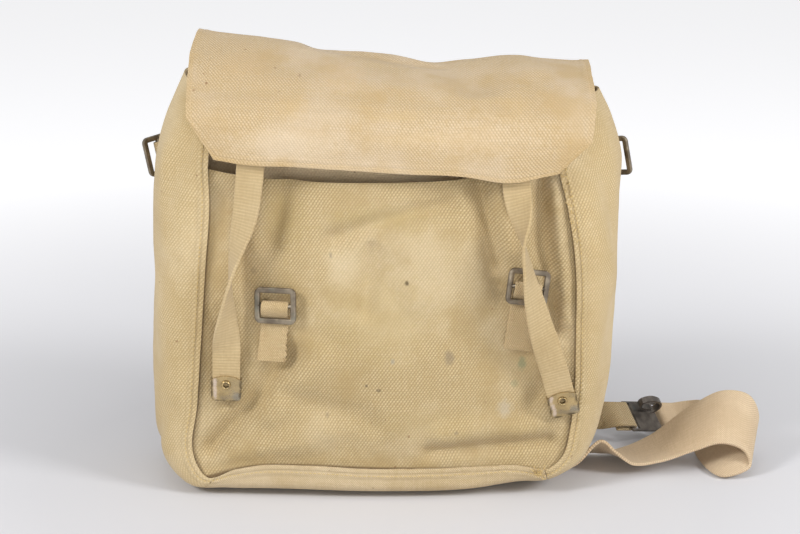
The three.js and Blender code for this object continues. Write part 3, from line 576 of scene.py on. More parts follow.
def cloth_material(
    name, thread, gap, pale, brown, across, along, shift,
    spots=(), fading=0.5, bump=0.5, grime=0.3, seam=0.0, seam_tone=(0.15, 0.095, 0.045),
):
    """Woven cotton: thread and gap colours, faded and grimy clouds, stains and painted shadows, colour
    from the Seam attribute (painted shade by seams and hems, a worn tint on the lid's rim) and the weave
    as bump.
    """
    material, tree, shader = new_material(name, Roughness=0.93, Sheen_Weight=0.12, Sheen_Roughness=0.5)
    places = add_node(tree, "ShaderNodeTexCoord").outputs
    threads = {"Cloth": places["UV"], "Across": across, "Along": along}
    woven = add_node(tree, "ShaderNodeGroup", threads, node_tree=weave).outputs
    clouds = {"Place": places["Object"], "Shift": shift}
    weathered = add_node(tree, "ShaderNodeGroup", clouds, node_tree=weathering).outputs
    colour = mix_colour(tree, woven["Dot"], gap, thread)
    colour = mix_colour(tree, ranged(tree, woven["Thread"], 0.36, 0.64, 0.0, 0.5), colour, brown)
    layers = (("Fade", fading, pale), ("Grime", grime, brown), ("Speck", SPECK_SHARE, RUST))
    for mask, share, tone in layers:
        colour = mix_colour(tree, math_node(tree, "MULTIPLY", weathered[mask], share), colour, tone)
    colour = stains_and_painted_light(tree, places["Object"], colour, spots)
    # Seam colour: painted shade along seams and hem grooves in the dark default tone; on the lid, a worn
    # golden tint along its rim.
    if seam:
        seam_shade_and_wear = add_node(tree, "ShaderNodeAttribute", attribute_name="Seam").outputs["Fac"]
        colour = mix_colour(tree, math_node(tree, "MULTIPLY", seam_shade_and_wear, seam), colour, seam_tone)
    tree.links.new(colour, shader.inputs["Base Color"])
    relief = add_node(
        tree, "ShaderNodeBump", {"Height": woven["Height"], "Strength": bump, "Distance": WEAVE_HEIGHT}
    )
    tree.links.new(relief.outputs["Normal"], shader.inputs["Normal"])
    return material


WEAVE_HEIGHT = 0.0005
CANVAS_BROWN = (0.45, 0.315, 0.135)
CANVAS_TONES = {
    "thread": (0.695, 0.55, 0.315), "gap": (0.405, 0.295, 0.145),
    "pale": (0.70, 0.57, 0.365), "brown": CANVAS_BROWN,
}
CANVAS_WEAVE = {"across": 2.38, "along": 1.67}

gusset_cloth = cloth_material(
    "gusset_canvas", **CANVAS_TONES, **CANVAS_WEAVE, shift=(0.3, 0.1, 0.6), fading=0.35, seam=0.3
)
base_cloth = cloth_material(
    "base_ribbed_canvas",
    thread=(0.78, 0.63, 0.40), gap=(0.50, 0.375, 0.21), pale=(0.74, 0.61, 0.42), brown=CANVAS_BROWN,
    across=1.6, along=0.8, shift=(0.7, 0.4, 0.2), fading=0.4, bump=0.6, seam=0.25,
)


def stitch_line(mesh, line, step, length, thick, lift):
    """Thread bumps along a line of (point, normal) spots in metres, one every step millimetres."""
    path = even_path([point for point, _ in line])
    total = sum((b[0] - a[0]).length for a, b in zip(line, line[1:])) / MM
    count = int(total / step)
    for k in range(count):
        share = (k + 0.5) / count
        here = path(share)
        way = (path(min(share + 0.004, 1)) - path(max(share - 0.004, 0))).normalized()
        normal = line[min(int(share * len(line)), len(line) - 1)][1]
        side = normal.cross(way).normalized()
        out = way.cross(side)
        wobble = 1 + 0.25 * noise.noise(here * 900)
        axes = Matrix((way * length * wobble / 2, side * thick / 2, out * thick / 2)).transposed() * MM
        spot = Matrix.Translation(here + out * lift * MM) @ axes.to_4x4()
        bmesh.ops.create_icosphere(mesh, subdivisions=1, radius=1, matrix=spot)


def thread_material(name, dark, light):
    """Waxed cotton thread between two tones."""
    material, tree, shader = new_material(name, Roughness=0.85, Sheen_Weight=0.1)
    place = add_node(tree, "ShaderNodeTexCoord").outputs["Object"]
    tone = mix_colour(tree, noise_value(tree, place, 300.0), dark, light)
    tree.links.new(tone, shader.inputs["Base Color"])
    return material


golden_thread = thread_material("golden_thread", (0.48, 0.33, 0.12), (0.74, 0.57, 0.27))
pale_thread = thread_material("pale_thread", (0.52, 0.38, 0.20), (0.74, 0.58, 0.36))

# Noise vectors depend on a seed, so it is set for the loose threads to curl the same way in each run.
CURL_SEED = 7
noise.seed_set(CURL_SEED)


def loose_thread(mesh, start, normal, length=9.0, thick=0.65):
    """A curled thread end that stands off a worn edge."""
    beads = int(2.2 * length / thick)
    for k in range(beads):
        share = k / beads
        curl = noise.noise_vector(start * 3000 + normal * 1.8 * share)
        rise = normal * (0.13 + 0.3 * math.sin(math.pi * share))
        spot = Matrix.Translation(start + (0.9 * share * curl + rise) * length * MM)
        bmesh.ops.create_icosphere(mesh, subdivisions=1, radius=thick / 2 * MM, matrix=spot)


def sewn_thread(name, lines, finish, step=3.2, length=2.5, thick=0.75, lift=1.15, ends=()):
    """One piece of all stitches along some lines and of some loose ends, riding on the bag."""
    mesh = bmesh.new()
    for line in lines:
        stitch_line(mesh, line, step, length, thick, lift)
    for start, normal in ends:
        loose_thread(mesh, start, normal)
    made = finished_object(name, mesh)
    dress(made, finish, "webbing")
    return made


SEAM_STEPS = 160


def edge_line(spot, share_across, first=0.0, last=1.0):
    """Spots along a sheet at one share of its columns."""
    return [spot(share_across, first + (last - first) * k / SEAM_STEPS) for k in range(SEAM_STEPS + 1)]


BUTT_GAP = 0.008
HEM_SHARE = 0.115
GUSSET_FINISH = (gusset_cloth, "canvas", (0.19, 0.42))
BASE_FINISH = (base_cloth, "ribbed_canvas", (0.17, 0.42))
# Places where a hem has worn through to loose ends, as shares across and along its strip.
FRAYED_ENDS = {
    "base_strip": [(0.02 + 0.022 * (k % 4), 0.93 + 0.0065 * k) for k in range(10)],
    "side_gusset_right": [(0.03 + 0.04 * (k % 2), 0.62 + 0.017 * k) for k in range(14)],
}
STRIPS = (
    ("side_gusset_left", 0.0, LEFT_BUTT - BUTT_GAP, 130, LEFT_GUSSET_FOLDS, *GUSSET_FINISH),
    ("base_strip", LEFT_BUTT + BUTT_GAP, RIGHT_BUTT - BUTT_GAP, 120, (), *BASE_FINISH),
    ("side_gusset_right", RIGHT_BUTT + BUTT_GAP, LAST_ROW, 130, RIGHT_GUSSET_FOLDS, *GUSSET_FINISH),
)
for node, first_row, last_row, rows, folds, cloth, slot_name, flat in STRIPS:
    strip, strip_spot = strip_wall(node + "_cloth", first_row, last_row, rows, folds)
    seams = [edge_line(strip_spot, HEM_SHARE), edge_line(strip_spot, 1 - HEM_SHARE)]
    frayed = [strip_spot(*share) for share in FRAYED_ENDS.get(node, ())]
    stitches = sewn_thread(node + "_stitches", seams, golden_thread, lift=1.0, ends=frayed)
    dress_cloth(strip, cloth, slot_name, node, flat)


# Front panel: one piece of heavy canvas, its edges tucked under the gussets and the base.
# It is stuffed out in the middle, pulled into folds beside the straps and creased above the base.
TUCK = 5.0
SEAM_STEP = CLOTH + 2
SEAM_LIFT = 1.3
FRONT_BULGE = 15
FOLD_STRENGTH = 1.35
MOUTH_SAG = 11.5
LEFT_MOUTH = 2
RIGHT_MOUTH = 21
FRONT_GRID = (170, 150)
FRONT_FLAT = (0.29, 0.25)
FRONT_FOLDS = named_rows(
    "x1 z1 x2 z2 depth width",
    (66, 232, 74, 196, 6.5, 8),
    (74, 196, 84, 150, 6.0, 8),
    (80, 224, 90, 182, -3.0, 8),
    (110, 230, 109, 190, 6.0, 7),
    (109, 190, 124, 122, 6.5, 7),
    (121, 228, 125, 180, -5.0, 6),
    (125, 180, 131, 128, -4.0, 6),
    (-124, 34, -98, 64, 6.0, 8),
    (-98, 64, -66, 106, 5.5, 9),
    (-80, 62, -44, 104, -2.5, 12),
    (-112, 24, -40, 50, -3.0, 12),
    (-70, 78, -10, 58, 2.5, 9),
    (-92, 36, 12, 66, -2.0, 13),
    (32, 34, 118, 40, 4.0, 6),
    (40, 48, 112, 54, -3.0, 9),
    (-34, 190, -6, 200, 4.5, 8),
    (-6, 200, 44, 214, 4.5, 8),
    (-6, 190, 38, 222, 2.0, 7),
    (-8, 184, -13, 140, 4.0, 7),
    (-64, 232, -76, 188, 4.5, 10),
    (18, 196, 22, 150, -2.5, 14),
    (-108, 215, -100, 140, 3.0, 11),
    (-10, 130, 8, 60, -2.0, 26),
    (100, 60, 118, 84, 3.0, 8),
    (-118, 120, -112, 70, 2.5, 8),
)


def tucked_seam(side, inward, from_row, to_row):
    """The edge of a panel that runs under the strip's hem; side 0 is the front seam, 1 the back seam."""
    points = []
    for k in range(SEAM_STEPS + 1):
        section = gusset_section((from_row + (to_row - from_row) * k / SEAM_STEPS) / LAST_ROW)
        point = section[side] + TUCK * section[2].normalized()
        point.y += inward * SEAM_STEP
        points.append(point)
    return even_path(points)


def panel_edges(side, inward, left_top, right_top, sag):
    """Four edges of a panel: three tucked seams and a free top that sags in the middle."""
    bottom = tucked_seam(side, inward, LEFT_CORNER, RIGHT_CORNER)
    left = tucked_seam(side, inward, LEFT_CORNER, left_top)
    right = tucked_seam(side, inward, RIGHT_CORNER, right_top)

    def top(u):
        point = left(1).lerp(right(1), u)
        point.z -= sag * max(math.sin(math.pi * u ** 0.75), 0) ** 0.6
        return point

    return bottom, top, left, right


def patch_point(edges, u, v):
    """A smooth patch filled in between four edges."""
    bottom, top, left, right = edges
    point = bottom(u) * (1 - v) + top(u) * v + left(v) * (1 - u) + right(v) * u
    point -= bottom(0) * ((1 - u) * (1 - v)) + bottom(1) * (u * (1 - v))
    return point - top(0) * ((1 - u) * v) - top(1) * (u * v)


front_edges = panel_edges(
    side=0, inward=1, left_top=LEFT_MOUTH, right_top=RIGHT_MOUTH, sag=MOUTH_SAG
)


def front_point(u, v):
    """The panel between its seams, stuffed out in the middle and pressed into its folds."""
    point = patch_point(front_edges, u, v)
    swell = max(math.sin(math.pi * u), 0) ** 1.3 * math.sin(math.pi * 0.72 * v ** 0.85)
    rim = smoothstep(0.012, 0.06, u * (1 - u)) * smoothstep(0.03, 0.12, v)
    point.y -= FRONT_BULGE * swell + SEAM_LIFT * (1 - smoothstep(0, 0.06, min(u, 1 - u, v)))
    point.y += FOLD_STRENGTH * rim * fold_depth(FRONT_FOLDS, "x z", point.x, point.z)
    return point


def front_relief(point, left, right, low, high):
    """Gathers beside the seams, soft waves in the middle and a hem along the mouth."""
    tucked = min(left, right, low)
    gather = pucker(point, max(tucked - 8, 0), 12, 0.9)
    soft = waves(point, 1.1, 38) + waves(point, 0.45, 14)
    return smoothstep(4, 16, tucked) * (gather + soft) + 0.5 * turned_hem(high, 0.9)


def front_shade(left, right, low, high):
    """Shade along the line where a hem lies on the panel."""
    return 1 - smoothstep(TUCK + 0.4, TUCK + 2.2, min(left, right + 0.8, low + 1))


def upright_grain(point, across, along):
    """Threads that run level and upright on a panel, whatever the run of its edges."""
    return point.x, point.z


HOLE_DARK = (0.05, 0.035, 0.02)
SOOT = (0.20, 0.16, 0.11)
PALE_GREY = (0.52, 0.47, 0.38)
GREEN = (0.13, 0.22, 0.12)
BLUE_GREY = (0.24, 0.26, 0.27)
OLIVE = (0.44, 0.325, 0.13)
FADED = (0.72, 0.60, 0.41)
PAINTED_SHADOW_AND_RUB = (0.26, 0.185, 0.09)
FRONT_SPOTS = named_rows(
    SPOT_COLUMNS,
    # HOLE_DARK marks holes in the cloth, painted as the dark shade seen through them.
    (16.5, -60, 160.4, 2.1, 60, 2.4, HOLE_DARK, 0.9),
    (46, -60, 105.5, 5.5, 60, 6.5, SOOT, 0.5),
    (-36.5, -60, 178.5, 1.6, 60, 3.0, SOOT, 0.6),
    (-3.5, -60, 82.5, 2.6, 60, 1.8, HOLE_DARK, 0.55),
    (-12, -60, 86, 1.4, 60, 1.4, HOLE_DARK, 0.6),
    (6.5, -60, 104, 2.2, 60, 3.0, BLUE_GREY, 0.45),
    (-40, -60, 62, 2.0, 60, 3.0, SOOT, 0.35),
    (51.5, -60, 50, 2.2, 60, 2.6, SOOT, 0.5),
    (98, -60, 99, 4.5, 60, 7.0, GREEN, 0.45),
    (93, -60, 84.5, 4.0, 60, 4.5, GREEN, 0.25),
    (86, -60, 66, 8, 60, 9, PALE_GREY, 0.4),
    (-91, -60, 165, 4.0, 60, 4.0, SOOT, 0.35),
    (-70, -60, 205, 22, 60, 34, OLIVE, 0.42),
    (0, -60, 205, 60, 60, 12, OLIVE, 0.38),
    (28, -60, 56, 60, 60, 16, OLIVE, 0.2),
    (-5, -60, 135, 58, 60, 52, OLIVE, 0.34),
    (-28, -60, 170, 16, 60, 24, FADED, 0.25),
    # Dark soft patches round the strap tips are painted shadow; those round the buckles are painted
    # shadow and rubbed dirt.
    (-111, -60, 72, 15, 60, 13, PAINTED_SHADOW_AND_RUB, 0.4),
    (129, -60, 61, 16, 60, 14, PAINTED_SHADOW_AND_RUB, 0.4),
    (-74, -60, 140, 21, 60, 19, PAINTED_SHADOW_AND_RUB, 0.35),
    (96, -60, 150, 22, 60, 22, PAINTED_SHADOW_AND_RUB, 0.22),
)
front_cloth = cloth_material(
    "front_canvas", **CANVAS_WEAVE, thread=(0.645, 0.51, 0.292), gap=(0.35, 0.253, 0.12),
    pale=(0.65, 0.53, 0.345), brown=(0.40, 0.28, 0.118), shift=(0.1, 0.2, 0.3),
    spots=FRONT_SPOTS, fading=0.45, grime=0.55, seam=0.85,
)
front_panel, _ = cloth_wall(
    "front_panel_cloth", *FRONT_GRID, front_point, front_relief, grain=upright_grain, seam=front_shade
)
dress_cloth(front_panel, front_cloth, "canvas", "front_panel", FRONT_FLAT)


# Back panel and inner divider: plain canvas sheets, sewn in under the gussets.
# The divider hangs across the middle of the bag and shows in the slit under the lid.
BACK_BULGE = 4
LEFT_BACK_TOP = 1
RIGHT_BACK_TOP = 22
BACK_GRID = (80, 70)
BACK_FLAT = (0.30, 0.26)
DIVIDER_LOW = 4.5
DIVIDER_HIGH = 243
DIVIDER_MIDDLE = 3
DIVIDER_BOW = 18
DIVIDER_LEAN = 24
DIVIDER_SAG = 4
DIVIDER_GRID = (60, 60)
DIVIDER_FLAT = (0.34, 0.25)
REACH_HALVINGS = 30

back_edges = panel_edges(side=1, inward=-1, left_top=LEFT_BACK_TOP, right_top=RIGHT_BACK_TOP, sag=0)


def back_point(u, v):
    """The panel between its seams, swelled out a little."""
    point = patch_point(back_edges, u, v)
    point.y += BACK_BULGE * max(math.sin(math.pi * u), 0) ** 1.3 * math.sin(math.pi * v)
    return point


def back_relief(point, left, right, low, high):
    """Soft waves that die out at the seams."""
    tucked = smoothstep(4, 20, min(left, right, low, high))
    return tucked * (waves(point, 0.9, 40) + waves(point, 0.5, 16))


def gusset_reach(z, first_row, last_row):
    """How far out the strip's crown lies at a height, searched between two rows of its table."""
    low, high = first_row / LAST_ROW, last_row / LAST_ROW
    for _ in range(REACH_HALVINGS):
        middle = (low + high) / 2
        low, high = (middle, high) if outer_edge(middle).z > z else (low, middle)
    return outer_edge(low).x


@functools.lru_cache(maxsize=None)
def divider_sides(v):
    """Left and right ends of the divider just inside the gussets, and its height there."""
    z = DIVIDER_LOW + (DIVIDER_HIGH - DIVIDER_LOW) * v
    clear = CLOTH + 1.5 + 10 * (1 - v) ** 6
    left = gusset_reach(z, 0, LEFT_CORNER + 1) + clear
    return left, gusset_reach(z, LAST_ROW, RIGHT_CORNER - 1) - clear, z


def divider_point(u, v):
    """The divider, bowed forward, with its top leaning to the mouth and sagging in the middle."""
    left, right, z = divider_sides(v)
    bow = math.sin(math.pi * u) * (DIVIDER_BOW * (0.3 + 0.7 * v) + DIVIDER_LEAN * smoothstep(0.7, 1, v))
    sag = DIVIDER_SAG * math.sin(math.pi * u) * v ** 6
    return Vector((left + (right - left) * u, DIVIDER_MIDDLE - bow, z - sag))


back_cloth = cloth_material(
    "back_canvas", **CANVAS_TONES, **CANVAS_WEAVE, shift=(0.9, 0.3, 0.1), fading=0.4
)
back_panel, _ = cloth_wall("back_panel_cloth", *BACK_GRID, back_point, back_relief, grain=upright_grain)
dress_cloth(back_panel, back_cloth, "canvas", "back_panel", BACK_FLAT)
# The divider's canvas is coloured much paler than the other canvas: painted light that brightens it
# where it lies in shade under the lid.
divider_brightened_cloth = cloth_material(
    "divider_brightened_canvas", **CANVAS_WEAVE, thread=(0.97, 0.79, 0.52), gap=(0.80, 0.62, 0.38),
    pale=(0.92, 0.75, 0.52), brown=(0.70, 0.50, 0.28), shift=(0.4, 0.7, 0.1), fading=0.6,
)
divider, _ = cloth_wall("inner_divider_cloth", *DIVIDER_GRID, divider_point, grain=upright_grain)
dress_cloth(divider, divider_brightened_cloth, "canvas", "inner_divider", DIVIDER_FLAT)


# Lid flap: one canvas sheet lapped on the outside of the back, over the top and down the front.
# Its front corners are cut off, its edges turned in and sewn, and the stuffing leaves soft folds on top.
LID_ROWS = named_rows(
    "y z1 z2 z3 z4 left right wrap",
    (58, 253, 253, 253, 253, -135, 145, 0),
    (58, 282, 275, 270, 269, -135, 146, 0),
    (52, 310, 300, 291, 290, -134, 148, 0),
    (38, 323.5, 312, 302, 301, -133.5, 148.5, 0),
    (-8, 313, 304, 297, 296, -136, 147, 1),
    (-46, 291, 286, 281, 280, -135, 147, 4),
    (-62, 275, 266, 259, 258, -134, 143, 6),
    (-64, 247.5, 241, 237, 238, -115.5, 120, 6),
)
LID_FOLDS = named_rows(
    "x1 y1 x2 y2 depth width",
    (-46, 34, 40, 14, 5.0, 12),
    (30, 44, 62, -20, 4.0, 17),
    (90, 40, 104, 0, -3.5, 18),
    (-120, -40, 120, -46, 1.5, 9),
    (-20, 20, 34, 26, 2.0, 4),
)
LIP_PULLS = named_rows("x drop width", (-92, 2.0, 22), (87, 6.2, 26))
LID_CREASES = (27, 34, 43)
LID_THICK = 2.3
LID_STEPS = 200
LID_GRID = (170, 160)
LID_FLAT = (0.285, 0.25)
LID_HEM = 0.045
BACK_HEM = 0.02
LIP_HEM = 0.955
lid_lines = [smooth_through(LID_ROWS, "wrap y " + column) for column in ("z1", "z2", "z3", "z4")]


def lid_side(name, along):
    """The left or right edge of the lid, straight from row to row, which keeps its cut corners sharp."""
    place = along * (len(LID_ROWS) - 1)
    row = min(int(place), len(LID_ROWS) - 2)
    first, second = LID_ROWS[row][name], LID_ROWS[row + 1][name]
    return first + (second - first) * (place - row)


@functools.lru_cache(maxsize=None)
def lid_section(along):
    """The curve across the lid at one share of its run, with its left and right edges."""
    profile = [dict(zip("xyz", line(along))) for line in lid_lines]
    return smooth_through(profile, "x y z"), lid_side("left", along), lid_side("right", along)


def lid_point(u, along):
    """The lid with its folds on top and its lip pulled down by the straps."""
    section, left, right = lid_section(along)
    point = section(u)
    wrap = point.x
    point.x = left + (right - left) * u
    point.y += wrap * (2 * u - 1) ** 4
    on_top = smoothstep(0.28, 0.42, along) * (1 - smoothstep(0.7, 0.85, along))
    point.z -= on_top * fold_depth(LID_FOLDS, "x y", point.x, point.y)
    at_lip = smoothstep(0.82, 1, along)
    for pull in LIP_PULLS:
        point.z -= at_lip * pull["drop"] * math.exp(-((point.x - pull["x"]) / pull["width"]) ** 2)
    return point


lid_travel = run_lengths([lid_lines[1](k / LID_STEPS).yz for k in range(LID_STEPS + 1)])


def lid_place(u, v):
    """The lid from right to left and from the back hem to the lip, at even steps down its middle."""
    step, part = step_at(lid_travel, crowded(v))
    return lid_point(1 - crowded(u), (step - 1 + part) / LID_STEPS)


def lid_relief(point, left, right, low, high):
    """A hem round the lid, gathers beside it, and long creases above the lip."""
    rim = min(left, right, high)
    soft = waves(point, 0.8, 34) + waves(point, 0.3, 12)
    for drop in LID_CREASES:
        sway = 2.5 * noise.noise(Vector((point.x / 45, drop, 0)))
        soft -= 0.6 * math.exp(-((high - drop + sway) / 2.2) ** 2)
    return turned_hem(rim, 0.4, 0.2) + pucker(point, rim, 8, 0.5) + smoothstep(6, 20, rim) * soft


def lid_shade(left, right, low, high):
    """The worn rim of the lid."""
    return 1 - smoothstep(2, 5.5, min(left, right, high))


def lid_grain(point, across, along):
    """Threads that run level and straight down over the lid, whatever the run of its cut sides."""
    return point.x, along


LID_RUSSET = (0.56, 0.38, 0.18)
LID_ORANGE = (0.60, 0.40, 0.18)
LID_BROWN = (0.58, 0.40, 0.18)
LID_TAN = (0.56, 0.40, 0.20)
LID_CREASE = (0.58, 0.41, 0.19)
LID_PINK = (0.80, 0.66, 0.50)
LID_CREAM = (0.80, 0.66, 0.48)
LID_SPOTS = named_rows(
    SPOT_COLUMNS,
    (-58, -60, 300, 1.6, 60, 1.6, RUST, 0.6),
    (-122, -40, 296, 1.6, 30, 1.3, RUST, 0.7),
    (-130, -30, 292, 1.4, 30, 1.4, RUST, 0.6),
    (-98, -20, 306, 26, 40, 12, LID_RUSSET, 0.3),
    (-28, -30, 302, 22, 40, 16, LID_ORANGE, 0.25),
    (30, -62, 262, 60, 40, 6, LID_TAN, 0.25),
    (60, -40, 262, 80, 60, 22, LID_PINK, 0.18),
    (-62, -60, 284, 16, 40, 12, LID_BROWN, 0.3),
    (92, -60, 286, 14, 40, 16, LID_BROWN, 0.28),
    (10, -60, 276, 30, 40, 5, LID_CREASE, 0.3),
    (-70, -60, 258, 60, 40, 14, LID_CREAM, 0.22),
)
lid_cloth = cloth_material(
    "lid_canvas", **CANVAS_WEAVE, thread=(0.66, 0.516, 0.325), gap=(0.39, 0.283, 0.155),
    pale=(0.62, 0.505, 0.375), brown=(0.48, 0.33, 0.15), shift=(0.5, 0.8, 0.2),
    spots=LID_SPOTS, fading=0.45, grime=0.6, seam=0.22, seam_tone=(0.50, 0.34, 0.14),
)
lid, lid_spot = cloth_wall(
    "lid_flap_cloth", *LID_GRID, lid_place, lid_relief, LID_THICK, lid_grain, lid_shade
)
lid_rim = edge_line(lid_spot, LID_HEM, BACK_HEM, LIP_HEM)
lid_rim += [
    lid_spot(LID_HEM + (1 - 2 * LID_HEM) * k / SEAM_STEPS, LIP_HEM) for k in range(SEAM_STEPS + 1)
]
lid_rim += reversed(edge_line(lid_spot, 1 - LID_HEM, BACK_HEM, LIP_HEM))
lid_stitches = sewn_thread(
    "lid_stitches", [lid_rim], pale_thread, step=3.0, length=2.2, thick=0.55, lift=1.1
)
dress_cloth(
    lid, lid_cloth, "canvas", "lid_flap", LID_FLAT
)


# Closing straps: narrow cotton webbing, sewn under the lid's edge, hanging free with a half turn each.
# The web is woven in ribs across its width, with a firm selvedge on both edges.
WEBBING = 2.2
STRAP_WIDTH = 19.5
STRAP_LENGTH = 195
STRAP_GRID = (16, 150)
ENDLESS_FLOAT = 1e5
TANGENT_STEP = 0.002
STRAP_COLUMNS = "x y z turn"
LEFT_STRAP_ROWS = named_rows(
    STRAP_COLUMNS,
    (-90, -57.5, 258, 0),
    (-91, -57.8, 240, 4),
    (-95.5, -59, 206, 30),
    (-103, -61, 178, 66),
    (-107, -62, 156, 92),
    (-109.5, -61, 130, 132),
    (-110.4, -57.4, 108, 180),
    (-111, -55.8, 92, 180),
    (-111.6, -54.2, 76, 180),
)
RIGHT_STRAP_ROWS = named_rows(
    STRAP_COLUMNS,
    (91, -57, 246, 0),
    (92, -58, 226, 6),
    (95, -66, 206, 50),
    (97, -70, 188, 94),
    (102, -71.5, 160, 120),
    (110, -68, 128, 152),
    (119.8, -60.6, 97, 180),
    (124.4, -57.4, 81, 180),
    (129, -54.2, 65, 180),
)

strap_web = cloth_material(
    "strap_webbing", thread=(0.585, 0.445, 0.245), gap=(0.48, 0.36, 0.19), pale=(0.565, 0.445, 0.27),
    brown=(0.40, 0.28, 0.125), across=ENDLESS_FLOAT, along=1.1, shift=(0.2, 0.6, 0.9),
    fading=0.3, bump=0.25,
)


def strap_place(rows):
    """A web along the middle line of a table, turned about that line by the table's degrees."""
    centre_line = smooth_through(rows, "x y z")
    turn_line = smooth_through(rows, "turn")

    def place(u, v):
        after, before = centre_line(min(v + TANGENT_STEP, 1)), centre_line(max(v - TANGENT_STEP, 0))
        way = (after - before).normalized()
        turn = math.radians(turn_line(v).x)
        level = (Vector((1, 0, 0)) - way * way.x).normalized()
        across = level * math.cos(turn) + way.cross(level) * math.sin(turn)
        return centre_line(v) + across * ((u - 0.5) * STRAP_WIDTH)

    return place


def web_relief(point, left, right, low, high):
    """Soft waves along a hanging web, and edges that have curled a little."""
    edge = min(left, right)
    return waves(point, 0.5, 20) * smoothstep(0, 25, high) - 0.35 * math.exp(-edge / 1.2)


STRAPS = {"left": LEFT_STRAP_ROWS, "right": RIGHT_STRAP_ROWS}
for side, rows in STRAPS.items():
    node = f"closing_strap_{side}"
    strap, _ = cloth_wall(node + "_web", *STRAP_GRID, strap_place(rows), web_relief, WEBBING)
    dress_cloth(strap, strap_web, "webbing", node, (STRAP_WIDTH * MM, STRAP_LENGTH * MM))


# Strap tips and rivets: brass sheet folded over the strap end and closed by one hollow rivet.
# The brass is dull yellow-brown with grey and blue-green tarnish.
RIVET_HEIGHT = 9
RIVET_PROFILE = ((1.7, 0.1), (1.9, 0.8), (2.4, 1.1), (3.1, 0.9), (3.5, 0.35), (3.4, 0.0))
RIVET_SEGMENTS = 24
TIP_FACE = 2.75
SCRATCH_DEPTH = 0.0004


def metal_material(name, bright, dark, bloom, bloom_share, roughness, metallic, scale, spots=()):
    """Cast or rolled metal: bright and tarnished clouds, bloom in patches, spots of stain, painted
    highlight and painted shade, and fine scratches.
    """
    material, tree, shader = new_material(name, Metallic=metallic)
    place = add_node(tree, "ShaderNodeTexCoord").outputs["Object"]
    cloud = ranged(tree, noise_value(tree, place, scale, 5.0), 0.35, 0.68)
    bloom_place = vector_node(tree, "ADD", place, (3, 1, 4))
    patch = ranged(tree, noise_value(tree, bloom_place, scale * 0.7, 4.0), 0.56, 0.7, 0, bloom_share)
    colour = mix_colour(tree, cloud, dark, bright)
    colour = stains_and_painted_light(tree, place, mix_colour(tree, patch, colour, bloom), spots)
    tree.links.new(colour, shader.inputs["Base Color"])
    grain = noise_value(tree, place, scale * 6, 3.0)
    sheen = ranged(tree, grain, 0.2, 0.8, roughness - 0.1, roughness + 0.14)
    tree.links.new(sheen, shader.inputs["Roughness"])
    dents = add_node(
        tree, "ShaderNodeBump", {"Height": grain, "Strength": 0.25, "Distance": SCRATCH_DEPTH}
    )
    tree.links.new(dents.outputs["Normal"], shader.inputs["Normal"])
    return material


def placed(centre, axes):
    """The way from a small piece's own axes, in millimetres, to its place on the bag."""
    return Matrix.Translation(Vector(centre) * MM) @ axes.to_4x4() @ Matrix.Scale(MM, 4)


def strap_end_frame(rows):
    """Axes at a strap's end: x across the web, y through it towards the bag, z back up the strap."""
    foot, before = (Vector((row["x"], row["y"], row["z"])) for row in (rows[-1], rows[-2]))
    up = (before - foot).normalized()
    through = up.cross(Vector((1, 0, 0))).normalized()
    return placed(foot, Matrix((through.cross(up), through, up)).transposed())


# Marks laid on each tip in its own axes: a dark disc in the rivet's hollow is painted shade, pale strips
# down the folded left edge are a painted highlight, dark lines along the sides and the bottom are
# painted edge shade; the grey patch is tarnish.
TIP_PAINTED_HIGHLIGHT = (0.82, 0.68, 0.56)
TIP_PAINTED_EDGE_SHADE = (0.10, 0.075, 0.04)
TIP_GREY = (0.26, 0.28, 0.28)
TIP_BROWN = (0.30, 0.25, 0.18)
TIP_HOLE_PAINTED_SHADE = (0.03, 0.025, 0.02)
TIP_MARK_DEPTH = 30
TIP_MARKS = named_rows(
    "across up width height tone strength",
    (0.3, 8.8, 3.2, 3.2, TIP_HOLE_PAINTED_SHADE, 0.95),
    (7.5, 0, 6, 5, TIP_GREY, 0.5),
    (1, -1, 9, 3, TIP_BROWN, 0.5),
    (-7.8, 1, 2.2, 5, TIP_PAINTED_HIGHLIGHT, 0.75),
    (-7.8, 6, 2.2, 5, TIP_PAINTED_HIGHLIGHT, 0.75),
    (-7.8, 11, 2.2, 5, TIP_PAINTED_HIGHLIGHT, 0.75),
    (-10.3, 2, 1.8, 6, TIP_PAINTED_EDGE_SHADE, 0.8),
    (-10.3, 9, 1.8, 6, TIP_PAINTED_EDGE_SHADE, 0.8),
    (10.3, 2, 1.8, 6, TIP_PAINTED_EDGE_SHADE, 0.7),
    (10.3, 9, 1.8, 6, TIP_PAINTED_EDGE_SHADE, 0.7),
    (-5, -3.8, 7, 1.8, TIP_PAINTED_EDGE_SHADE, 0.8),
    (5, -3.8, 7, 1.8, TIP_PAINTED_EDGE_SHADE, 0.8),
)
tip_spots = []
for rows in STRAPS.values():
    for mark in TIP_MARKS:
        centre = strap_end_frame(rows) @ Vector((mark["across"], 0, mark["up"])) / MM
        tip_spots.append({**dict(zip("xyz", centre)), "depth": TIP_MARK_DEPTH, **mark})
tip_brass = metal_material(
    "tip_brass", bright=(0.60, 0.445, 0.22), dark=(0.42, 0.315, 0.16), bloom=(0.36, 0.30, 0.20),
    bloom_share=0.4, roughness=0.3, metallic=0.9, scale=90.0, spots=tip_spots,
)


def softened_copy(node, name, width, segments=2):
    """A copy of a solid part with its flat faces joined up and its edges rounded."""
    mesh = bmesh.new()
    mesh.from_mesh(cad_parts[node].data)
    bmesh.ops.remove_doubles(mesh, verts=mesh.verts, dist=1e-6)
    bmesh.ops.dissolve_limit(mesh, angle_limit=math.radians(1), verts=mesh.verts, edges=mesh.edges)
    made = finished_object(name, mesh)
    round_edges(made, "worn_edge", width, segments, 40)
    made.modifiers.new("flat_faces", "WEIGHTED_NORMAL")
    return made


